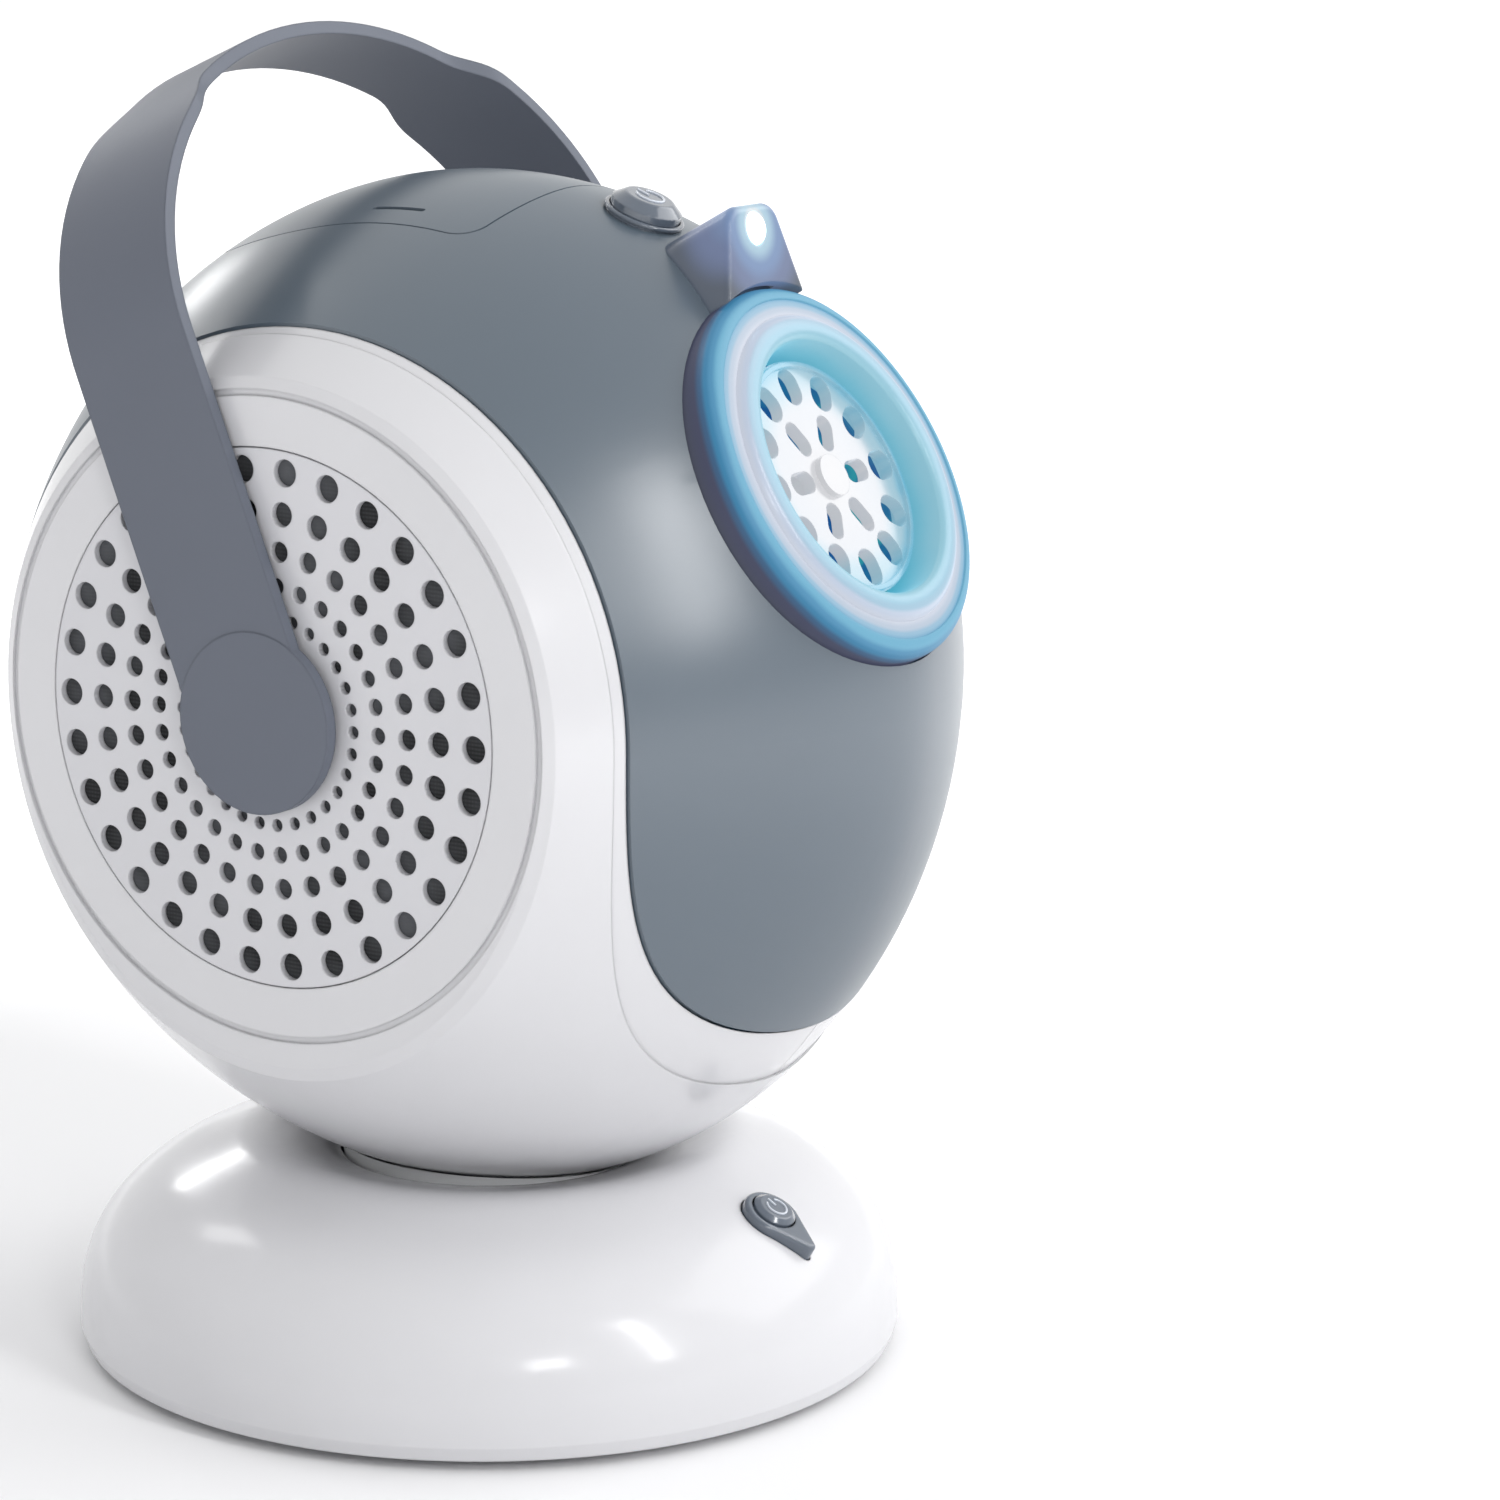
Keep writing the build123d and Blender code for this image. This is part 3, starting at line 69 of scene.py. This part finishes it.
# ------------------------------------------------------------------ node helpers
class Graph:
    """A material's node tree with short calls for adding and linking nodes."""

    def __init__(self, name):
        self.material = bpy.data.materials.new(name)
        self.material.use_nodes = True
        self.tree = self.material.node_tree
        self.tree.nodes.clear()
        self.shader = self.add("ShaderNodeBsdfPrincipled")
        output = self.add("ShaderNodeOutputMaterial")
        self.join(self.shader.outputs["BSDF"], output.inputs["Surface"])
        self.place = self.add("ShaderNodeTexCoord").outputs["Object"]

    def add(self, kind, **settings):
        node = self.tree.nodes.new(kind)
        for key, value in settings.items():
            setattr(node, key, value)
        return node

    def join(self, source, target):
        self.tree.links.new(source, target)

    def fill(self, target, value):
        """Link a socket or set a plain value."""
        if isinstance(value, bpy.types.NodeSocket):
            self.join(value, target)
        else:
            target.default_value = value

    def colour(self, source):
        self.join(source, self.shader.inputs["Base Color"])

    def roughness(self, source):
        self.join(source, self.shader.inputs["Roughness"])

    def set(self, name, value):
        """A value that is the same all over the surface, set on the shader itself."""
        self.shader.inputs[name].default_value = value

    def maths(self, operation, first, second=0.0, clamp=False):
        node = self.add("ShaderNodeMath", operation=operation, use_clamp=clamp)
        self.fill(node.inputs[0], first)
        self.fill(node.inputs[1], second)
        return node.outputs[0]

    def vector(self, operation, first, second=(0, 0, 0), output="Vector"):
        node = self.add("ShaderNodeVectorMath", operation=operation)
        self.fill(node.inputs[0], first)
        self.fill(node.inputs[1], second)
        return node.outputs[output]

    def spread(self, value, low, high, to_low, to_high):
        """Map low..high to to_low..to_high, clamped."""
        node = self.add("ShaderNodeMapRange")
        for socket, entry in zip(node.inputs, (value, low, high, to_low, to_high)):
            self.fill(socket, entry)
        return node.outputs["Result"]

    def noise(self, scale, detail=3.0, rough=0.5):
        node = self.add("ShaderNodeTexNoise")
        self.join(self.place, node.inputs["Vector"])
        node.inputs["Scale"].default_value = scale
        node.inputs["Detail"].default_value = detail
        node.inputs["Roughness"].default_value = rough
        return node.outputs["Fac"]

    def mix(self, share, first, second):
        node = self.add("ShaderNodeMix", data_type="RGBA")
        factor, colour_a, colour_b = (node.inputs[i] for i in (0, 6, 7))
        self.fill(factor, share)
        self.fill(colour_a, first)
        self.fill(colour_b, second)
        return node.outputs[2]

    def ramp(self, value, stops):
        node = self.add("ShaderNodeValToRGB")
        self.join(value, node.inputs["Fac"])
        ramp = node.color_ramp
        ramp.interpolation = "EASE"
        while len(ramp.elements) < len(stops):
            ramp.elements.new(0.5)
        for element, (position, colour) in zip(ramp.elements, stops):
            element.position = position
            element.color = rgba(colour)
        return node.outputs["Color"]

    def relief(self, height, strength, distance, edge=None):
        """Bump from a height, over edges that are softly rounded for the light."""
        bump = self.add("ShaderNodeBump")
        bump.inputs["Strength"].default_value = strength
        bump.inputs["Distance"].default_value = distance
        self.join(height, bump.inputs["Height"])
        if edge:
            bevel = self.add("ShaderNodeBevel", samples=4)
            bevel.inputs["Radius"].default_value = edge
            self.join(bevel.outputs["Normal"], bump.inputs["Normal"])
        self.join(bump.outputs["Normal"], self.shader.inputs["Normal"])


def rgba(colour):
    return (*colour, 1.0)


def linear(*levels):
    """Scene colour of a display colour given as three levels from 0 to 255."""
    out = []
    for level in levels:
        part = level / 255
        out.append(part / 12.92 if part <= 0.04045 else ((part + 0.055) / 1.055) ** 2.4)
    return tuple(out)


def shade(colour, factor):
    return tuple(min(1.0, part * factor) for part in colour)


# ------------------------------------------------------------------ plain materials
# Noise scales are in waves per metre.
MOTTLING = 24.0
GLOSS_PATCHES = MOTTLING * 1.3
SURFACE_WAVE = MOTTLING * 1.6
SKIN_GRAIN = 700.0
SKIN_SHARE = 0.06
UNEVEN_GLOSS = 0.14
COAT_ROUGH_SHARE = 0.6
SKIN_DEEP = 0.2 * MM


def moulded(name, colour, rough, coat=0.0, vary=0.05, texture=0.12, edge=None, gloss=0.5):
    """Moulded plastic: faint flow mottling, uneven gloss and a fine skin texture."""
    g = Graph(name)
    share = g.spread(g.noise(MOTTLING, 2.0), 0.2, 0.8, 0.0, 1.0)
    g.colour(g.mix(share, rgba(shade(colour, 1 - vary)), rgba(shade(colour, 1 + vary))))
    patches = g.noise(GLOSS_PATCHES, 1.0)
    g.roughness(g.spread(patches, 0.0, 1.0, rough * (1 - UNEVEN_GLOSS), rough * (1 + UNEVEN_GLOSS)))
    g.set("Coat Weight", coat)
    g.set("Coat Roughness", rough * COAT_ROUGH_SHARE)
    g.set("Specular IOR Level", gloss)
    skin = g.noise(SKIN_GRAIN, 2.0)
    wave = g.noise(SURFACE_WAVE, 1.0, 0.4)
    height = g.maths("ADD", g.maths("MULTIPLY", skin, SKIN_SHARE), wave)
    g.relief(height, texture, SKIN_DEEP, edge)
    return g


BRUSH_STRETCH = (400.0, 400.0, 6000.0)
BRUSH_DEEP = 0.05 * MM


def metal(name, colour, rough):
    """Plated or drawn metal with fine brushing."""
    g = Graph(name)
    stretch = g.add("ShaderNodeMapping")
    g.join(g.place, stretch.inputs["Vector"])
    stretch.inputs["Scale"].default_value = BRUSH_STRETCH
    lines = g.add("ShaderNodeTexNoise")
    g.join(stretch.outputs["Vector"], lines.inputs["Vector"])
    lines.inputs["Scale"].default_value = 1.0
    brush = lines.outputs["Fac"]
    g.colour(g.mix(brush, rgba(shade(colour, 0.82)), rgba(shade(colour, 1.12))))
    g.roughness(g.spread(brush, 0.2, 0.8, rough * 0.7, rough * 1.3))
    g.set("Metallic", 1.0)
    g.relief(brush, 0.15, BRUSH_DEEP)
    return g


THREAD_SCALE = 420.0
THREAD_WANDER = 0.6
THREAD_SHARE = 0.35
THREAD_DEEP = 0.1 * MM


def woven_cloth():
    """Fine dark cloth behind the vent holes: crossed threads over an uneven dark ground."""
    g = Graph("woven_cloth")
    threads = []
    for direction in ("X", "Y", "Z"):
        wave = g.add("ShaderNodeTexWave", wave_type="BANDS", bands_direction=direction)
        g.join(g.place, wave.inputs["Vector"])
        wave.inputs["Scale"].default_value = THREAD_SCALE
        wave.inputs["Distortion"].default_value = THREAD_WANDER
        threads.append(wave.outputs["Fac"])
    weave = g.maths("MULTIPLY", g.maths("MAXIMUM", threads[0], threads[1]), threads[2])
    patch = g.spread(g.noise(55.0, 2.0), 0.4, 0.68, 0.0, 1.0)
    ground = g.mix(patch, rgba(linear(26, 27, 29)), rgba(linear(84, 86, 90)))
    g.colour(g.mix(g.maths("MULTIPLY", weave, THREAD_SHARE), ground, rgba(linear(70, 72, 76))))
    g.roughness(g.spread(weave, 0.0, 1.0, 0.9, 0.7))
    g.relief(weave, 0.3, THREAD_DEEP)
    return g


def board_material():
    """Green circuit board with a pattern of tracks."""
    g = moulded("circuit_board", (0.03, 0.16, 0.07), 0.3, coat=0.4)
    traces = g.add("ShaderNodeTexBrick")
    g.join(g.place, traces.inputs["Vector"])
    traces.inputs["Scale"].default_value = 240.0
    traces.inputs["Color1"].default_value = (0.02, 0.17, 0.07, 1)
    traces.inputs["Color2"].default_value = (0.03, 0.21, 0.09, 1)
    traces.inputs["Mortar"].default_value = (0.08, 0.30, 0.14, 1)
    g.colour(traces.outputs["Color"])
    return g


# ------------------------------------------------------------------ lit materials
WHITE = linear(204, 204, 207)
WHITE_DISC = linear(201, 201, 205)
BASE_WHITE = linear(208, 208, 211)
GREY = linear(80, 92, 103)
STRAP_GREY = linear(98, 103, 114)

GLOW_SHARE = 0.54
PAINT_SHARE = 0.13
WALL_DEEP = 9.8 * MM
WALL_MARGIN = 0.2 * MM
WHEEL_RADIUS = 23.6 * MM
THROAT_RADIUS = 24.5 * MM
CONE_RADIUS = 31.0 * MM
RIM_RADIUS = 34.4 * MM
HOOD_LIT_NEAR = 3.0 * MM
HOOD_LIT_FAR = 24.0 * MM
LENS_RADIUS = 5.0 * MM

# Each list of stops goes from 0 to 1 along its piece.
WALL_STOPS = (
    (0.0, linear(90, 94, 103)), (0.54, linear(84, 88, 114)), (0.7, linear(72, 112, 152)),
    (0.82, linear(72, 150, 196)), (0.92, linear(96, 170, 214)), (1.0, linear(130, 204, 238)),
)
DIFFUSER_STOPS = (
    (0.0, linear(228, 236, 252)), (0.4, linear(204, 220, 240)),
    (0.7, linear(156, 204, 234)), (1.0, linear(120, 188, 226)),
)
CONE_STOPS = (
    (0.0, linear(104, 210, 238)), (0.2, linear(166, 226, 246)), (0.5, linear(172, 224, 248)),
    (0.7, linear(184, 224, 248)), (0.86, linear(216, 230, 252)), (1.0, linear(228, 236, 252)),
)
HOOD_STOPS = (
    (0.0, linear(90, 102, 116)), (0.34, linear(94, 104, 120)), (0.6, linear(122, 138, 178)),
    (0.78, linear(134, 164, 210)), (0.93, linear(190, 226, 246)), (1.0, (0.95, 0.98, 1.0)),
)
WHEEL_STOPS = (
    (0.0, linear(240, 240, 243)), (0.6, linear(232, 236, 243)),
    (0.84, linear(190, 226, 242)), (1.0, linear(120, 206, 238)),
)
INSIDE_STOPS = (
    (0.35, linear(34, 104, 176)), (0.5, linear(40, 130, 184)), (0.62, linear(56, 184, 196)),
)
LENS_STOPS = ((0.0, (1.0, 1.0, 1.0)), (1.0, linear(150, 220, 255)))


def offset_and_reach(g):
    """Offset from the head's centre, and how far it goes along the nozzle's axis."""
    offset = g.vector("SUBTRACT", g.place, tuple(HEAD_CENTRE))
    return offset, g.vector("DOT_PRODUCT", offset, tuple(NOZZLE_AXIS), "Value")


def axis_distance(g):
    """Distance from the nozzle's axis."""
    offset, along = offset_and_reach(g)
    scaled = g.add("ShaderNodeVectorMath", operation="SCALE")
    scaled.inputs[0].default_value = tuple(NOZZLE_AXIS)
    g.join(along, scaled.inputs["Scale"])
    return g.vector("LENGTH", g.vector("SUBTRACT", offset, scaled.outputs["Vector"]), output="Value")


def lamp_distance(g):
    """Distance from the middle of the hood lamp's face."""
    return g.vector("DISTANCE", g.place, tuple(LAMP_FACE), "Value")


def unsettled(g, stage, scale, amount):
    """A gradient's stage, moved a little to and fro by a cloud."""
    cloud = g.maths("SUBTRACT", g.noise(scale), 0.5)
    return g.maths("ADD", stage, g.maths("MULTIPLY", cloud, amount), clamp=True)


def lit(g, stage, stops):
    """Colour a lit piece: part of the colour goes into the base colour that answers the studio light and
    the rest into emission. On the diffuser the emission is its own glow; on the wall, cone, hood, wheel
    and duct the emission and the blue and cyan of the ramp are painted light from the lamps.
    """
    colours = g.ramp(stage, stops)
    g.join(g.mix(1.0 - GLOW_SHARE, colours, rgba((0, 0, 0))), g.shader.inputs["Emission Color"])
    g.colour(g.mix(1.0 - PAINT_SHARE, colours, rgba((0, 0, 0))))
    g.set("Emission Strength", 1.0)
    return g


def lit_wall():
    """The nozzle's outer wall: grey at the back, lit blue and cyan towards the rim."""
    g = moulded("nozzle_wall", GREY, 0.42, edge=0.6 * MM, gloss=0.25)
    _, along = offset_and_reach(g)
    stage = g.spread(along, RIM_REACH - WALL_DEEP, RIM_REACH - WALL_MARGIN, 0.0, 1.0)
    return lit(g, unsettled(g, stage, 30.0, 0.14), WALL_STOPS)


def diffuser():
    """The lit ring at the rim: bright lavender white with cyan at its outer edge."""
    g = moulded("lit_diffuser", WHITE, 0.4, edge=0.3 * MM)
    stage = g.spread(axis_distance(g), CONE_RADIUS, RIM_RADIUS, 0.0, 1.0)
    return lit(g, unsettled(g, stage, 40.0, 0.3), DIFFUSER_STOPS)


def lit_cone():
    """The inner ring: white plastic with painted cyan light, given as emission, towards its throat."""
    g = moulded("lit_cone", WHITE, 0.35, coat=0.2, edge=0.3 * MM)
    stage = g.spread(axis_distance(g), THROAT_RADIUS, CONE_RADIUS, 0.0, 1.0)
    return lit(g, unsettled(g, stage, 34.0, 0.16), CONE_STOPS)


def lit_hood():
    """The grey hood, lit blue by its lamp and by the ring below it."""
    g = moulded("hood_plastic", GREY, 0.32, coat=0.25, edge=0.8 * MM)
    stage = g.spread(lamp_distance(g), HOOD_LIT_NEAR, HOOD_LIT_FAR, 1.0, 0.0)
    return lit(g, unsettled(g, stage, 36.0, 0.08), HOOD_STOPS)


def lit_wheel():
    """The white bubble wheel, lit cyan towards its edge."""
    g = moulded("wheel_plastic", WHITE, 0.22, coat=0.6, edge=0.3 * MM)
    stage = g.spread(axis_distance(g), 0.0, WHEEL_RADIUS, 0.0, 1.0)
    return lit(g, unsettled(g, stage, 60.0, 0.24), WHEEL_STOPS)


def lit_inside():
    """Parts behind the wheel, lit deep cyan."""
    g = moulded("lit_duct", WHITE, 0.35)
    return lit(g, g.noise(90.0), INSIDE_STOPS)


def lamp_glass():
    """The lit lens in the hood's face, brightest in its middle."""
    g = moulded("lamp_glass", linear(220, 240, 255), 0.12, coat=0.6)
    glow = g.ramp(g.spread(lamp_distance(g), 0.0, LENS_RADIUS, 0.0, 1.0), LENS_STOPS)
    g.join(glow, g.shader.inputs["Emission Color"])
    g.set("Emission Strength", 3.0)
    return g


# ------------------------------------------------------------------ which piece has which material
finishes = {
    "white": moulded("white_gloss", WHITE, 0.24, coat=0.55, vary=0.018, texture=0.06, edge=0.6 * MM),
    "base_white": moulded("base_gloss", BASE_WHITE, 0.2, coat=0.22, vary=0.014, texture=0.04,
                          edge=0.6 * MM, gloss=0.22),
    "disc": moulded("disc_white", WHITE_DISC, 0.34, coat=0.3, vary=0.018, texture=0.06, edge=0.5 * MM),
    "grey": moulded("grey_satin", GREY, 0.3, vary=0.02, texture=0.04, gloss=1.0),
    "strap": moulded("strap_grey", STRAP_GREY, 0.5, vary=0.03, texture=0.07, edge=0.6 * MM, gloss=0.3),
    "button": moulded("button_grey", linear(86, 95, 107), 0.14, coat=0.9, vary=0.03, texture=0.04,
                      edge=0.6 * MM),
    "plain": moulded("plain_white", (0.72, 0.73, 0.74), 0.4, vary=0.03),
    "tank": moulded("cloudy_plastic", (0.55, 0.62, 0.67), 0.25, coat=0.3),
    "underside": moulded("underside_white", linear(206, 206, 210), 0.5, vary=0.03, texture=0.3,
                         edge=0.4 * MM),
    "rubber": moulded("black_rubber", (0.018, 0.018, 0.02), 0.7, vary=0.2, texture=0.5),
    "black": moulded("black_components", (0.02, 0.02, 0.022), 0.45, vary=0.2),
    "sleeve": moulded("cell_sleeve", (0.03, 0.10, 0.22), 0.25, coat=0.5, vary=0.08),
    "symbol": moulded("symbol_light", linear(196, 202, 212), 0.2, coat=0.6, vary=0.03),
    "steel": metal("plated_steel", (0.55, 0.55, 0.57), 0.3),
    "cloth": woven_cloth(),
    "board": board_material(),
    "ring": lit_wall(),
    "diffuser": diffuser(),
    "cone": lit_cone(),
    "hood": lit_hood(),
    "lamp": lamp_glass(),
    "wheel": lit_wheel(),
    "inside": lit_inside(),
}

SLOT_FINISH = {
    "white_shell": "white",
    "grey_shell": "grey",
    "grey_handle": "strap",
    "button_cap": "button",
    "light_diffuser": "diffuser",
    "white_plastic": "plain",
    "tank_plastic": "tank",
    "base_underside": "underside",
    "rubber": "rubber",
    "steel": "steel",
    "cell_wrap": "sleeve",
    "dust_cloth": "cloth",
    "circuit_board": "board",
    "components": "black",
    "led": "lamp",
}
NODE_FINISH = {
    "base_shell": "base_white",
    "left_grille": "disc",
    "right_grille": "disc",
    "inner_cone": "cone",
    "nozzle_ring": "ring",
    "nozzle_hood": "hood",
    "hood_lamp": "lamp",
    "bubble_wheel": "wheel",
    "wheel_carrier": "inside",
    "air_duct": "inside",
    "top_button_bezel": "button",
    "base_button_bezel": "button",
}
slot_of = {part["node"]: part["material_slot"] for part in frame["record"]["subparts"]}
for name, piece in nodes.items():
    finish = finishes[NODE_FINISH.get(name, SLOT_FINISH[slot_of[name]])].material
    piece.data.materials.clear()
    piece.data.materials.append(finish)


# ------------------------------------------------------------------ power symbols on the two buttons
SYMBOL_GAP = math.radians(36)
SYMBOL_STEPS = 28
SYMBOL_LIFT = 0.2
STROKE_FROM = 0.15
STROKE_TO = 1.12
FLAT_WITHIN = 0.02 * MM


def face_of(node, joint):
    """Centre, outward direction and up direction of a push cap's top face."""
    outward = -Vector(joints[joint]["axis"]).normalized()
    points = points_of(node)
    middle = sum((Vector(corner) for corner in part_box(node)), Vector()) / 2
    reach = max((p - middle).dot(outward) for p in points)
    up = Vector((0, 0, 1)) - outward * outward.z
    flat = [p for p in points if (p - middle).dot(outward) > reach - FLAT_WITHIN]
    centre = sum(flat, Vector()) / len(flat)
    return centre, outward, up.normalized()


def line_piece(name, points, radius):
    """A fine raised line through the points, round in section."""
    curve = bpy.data.curves.new(name, "CURVE")
    curve.dimensions = "3D"
    curve.bevel_depth = radius
    curve.bevel_resolution = 3
    curve.use_fill_caps = True
    spline = curve.splines.new("POLY")
    spline.points.add(len(points) - 1)
    for entry, point in zip(spline.points, points):
        entry.co = (*point, 1.0)
    piece = bpy.data.objects.new(name, curve)
    bpy.context.collection.objects.link(piece)
    return piece


def power_symbol(node, joint, body, radius, line):
    """A generic power symbol, sunk nearly by half: an open ring with a stroke through its gap."""
    centre, outward, up = face_of(node, joint)
    side = up.cross(outward)
    lift = outward * (line * SYMBOL_LIFT)
    ring = []
    for i in range(SYMBOL_STEPS + 1):
        turn = SYMBOL_GAP + (2 * math.pi - 2 * SYMBOL_GAP) * i / SYMBOL_STEPS
        ring.append(centre + lift + up * (radius * math.cos(turn)) + side * (radius * math.sin(turn)))
    stroke = [centre + lift + up * (radius * share) for share in (STROKE_FROM, STROKE_TO)]
    for name, points in ((f"{body}_symbol_ring", ring), (f"{body}_symbol_stroke", stroke)):
        piece = line_piece(name, points, line)
        piece.data.materials.append(finishes["symbol"].material)
        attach(piece, body)


power_symbol("top_button", "top_button_press", "top_button", 2.7 * MM, 0.27 * MM)
power_symbol("base_button", "base_button_press", "base_button", 2.1 * MM, 0.23 * MM)

# ------------------------------------------------------------------ floor
FLOOR_SIZE = 6.0
FLOOR_COLOUR = (0.86, 0.86, 0.87)
FLOOR_LIFT = 0.01
FLOOR_LIFT_FAR = 0.5
FLOOR_NEAR = 0.26
FLOOR_FAR = 0.6


def floor():
    """A pale floor that takes a shadow near the object and fades to white farther out."""
    mesh = bmesh.new()
    half = FLOOR_SIZE / 2
    corners = [(-half, -half, 0.0), (half, -half, 0.0), (half, half, 0.0), (-half, half, 0.0)]
    mesh.faces.new([mesh.verts.new(corner) for corner in corners])
    data = bpy.data.meshes.new("floor")
    mesh.to_mesh(data)
    mesh.free()
    piece = bpy.data.objects.new("floor", data)
    bpy.context.collection.objects.link(piece)
    g = Graph("floor_paint")
    g.colour(g.mix(g.noise(3.0), rgba(shade(FLOOR_COLOUR, 0.99)), rgba(FLOOR_COLOUR)))
    g.set("Roughness", 0.8)
    g.set("Specular IOR Level", 0.2)
    g.set("Emission Color", (1.0, 1.0, 1.0, 1.0))
    away = g.vector("LENGTH", g.place, output="Value")
    lift = g.spread(away, FLOOR_NEAR, FLOOR_FAR, FLOOR_LIFT, FLOOR_LIFT_FAR)
    g.join(lift, g.shader.inputs["Emission Strength"])
    data.materials.append(g.material)


floor()

# ------------------------------------------------------------------ light
# Name, azimuth and elevation in degrees, distance, width and height in metres, power in watts.
# Azimuth 0 is the front.
STUDIO_LIGHTS = (
    ("strip", -7, 30, 1.5, 0.15, 0.95, 7.2),
    ("near", -39, 22, 1.4, 0.26, 0.18, 2.6),
    ("key", 50, 35, 1.7, 1.5, 1.1, 10.5),
    ("back", 171, 42, 1.5, 0.22, 0.5, 1.5),
    ("rim", 149, 18, 1.5, 0.2, 0.12, 0.8),
)


def studio_light(name, azimuth, elevation, distance, width, height, power):
    """A soft box aimed at the head."""
    turn, rise = math.radians(azimuth), math.radians(elevation)
    towards = Vector((math.sin(turn) * math.cos(rise), -math.cos(turn) * math.cos(rise), math.sin(rise)))
    data = bpy.data.lights.new(name, "AREA")
    data.shape = "RECTANGLE"
    data.size = width
    data.size_y = height
    data.energy = power
    lamp = bpy.data.objects.new(name, data)
    bpy.context.collection.objects.link(lamp)
    lamp.location = HEAD_CENTRE + towards * distance
    lamp.rotation_euler = (-towards).to_track_quat("-Z", "Y").to_euler()


for entry in STUDIO_LIGHTS:
    studio_light(*entry)

WORLD_MIDDLE = 0.82
WORLD_SWING = 0.23
BRIGHT_SIDE = Vector((0.8, 0.56, 0.0)).normalized()


def studio():
    """A white studio, a little brighter behind the object and dimmer in front of it."""
    world = bpy.data.worlds.new("studio")
    world.use_nodes = True
    bpy.context.scene.world = world
    tree = world.node_tree
    place = tree.nodes.new("ShaderNodeTexCoord")
    facing = tree.nodes.new("ShaderNodeVectorMath")
    facing.operation = "DOT_PRODUCT"
    facing.inputs[1].default_value = BRIGHT_SIDE
    level = tree.nodes.new("ShaderNodeMapRange")
    level.inputs["From Min"].default_value = -1.0
    level.inputs["To Min"].default_value = WORLD_MIDDLE - WORLD_SWING
    level.inputs["To Max"].default_value = WORLD_MIDDLE + WORLD_SWING
    background = tree.nodes["Background"]
    background.inputs["Color"].default_value = (1.0, 1.0, 1.0, 1.0)
    tree.links.new(place.outputs["Generated"], facing.inputs[0])
    tree.links.new(facing.outputs["Value"], level.inputs["Value"])
    tree.links.new(level.outputs["Result"], background.inputs["Strength"])


studio()

# ------------------------------------------------------------------ camera
CAMERA_AZIMUTH = math.radians(-54.868)
CAMERA_ELEVATION = math.radians(11.185)
CAMERA_DISTANCE = 0.88813
CAMERA_LENS = 108.14
SENSOR = 36.0
AIM_RIGHT = 0.1724
AIM_DOWN = 0.0611
CLIP_START = 0.01


def camera():
    """A level camera in front and to the left, turned so that the head sits left of the middle."""
    sa, ca = math.sin(CAMERA_AZIMUTH), math.cos(CAMERA_AZIMUTH)
    se, ce = math.sin(CAMERA_ELEVATION), math.cos(CAMERA_ELEVATION)
    right = Vector((ca, sa, 0))
    up = Vector((-sa * se, ca * se, ce))
    back = Vector((sa * ce, -ca * ce, se))
    data = bpy.data.cameras.new("camera")
    data.lens = CAMERA_LENS
    data.sensor_width = SENSOR
    data.clip_start = CLIP_START
    piece = bpy.data.objects.new("camera", data)
    bpy.context.collection.objects.link(piece)
    share = SENSOR / CAMERA_LENS
    aim = Vector((-AIM_RIGHT * share, AIM_DOWN * share, -1.0)).normalized()
    turn = aim.rotation_difference(Vector((0, 0, -1))).to_matrix()
    facing_head = Matrix((right, up, back)).transposed()
    place = HEAD_CENTRE + back * CAMERA_DISTANCE
    piece.matrix_world = Matrix.Translation(place) @ (facing_head @ turn).to_4x4()
    bpy.context.scene.camera = piece


camera()

bpy.context.scene.view_settings.view_transform = "Standard"
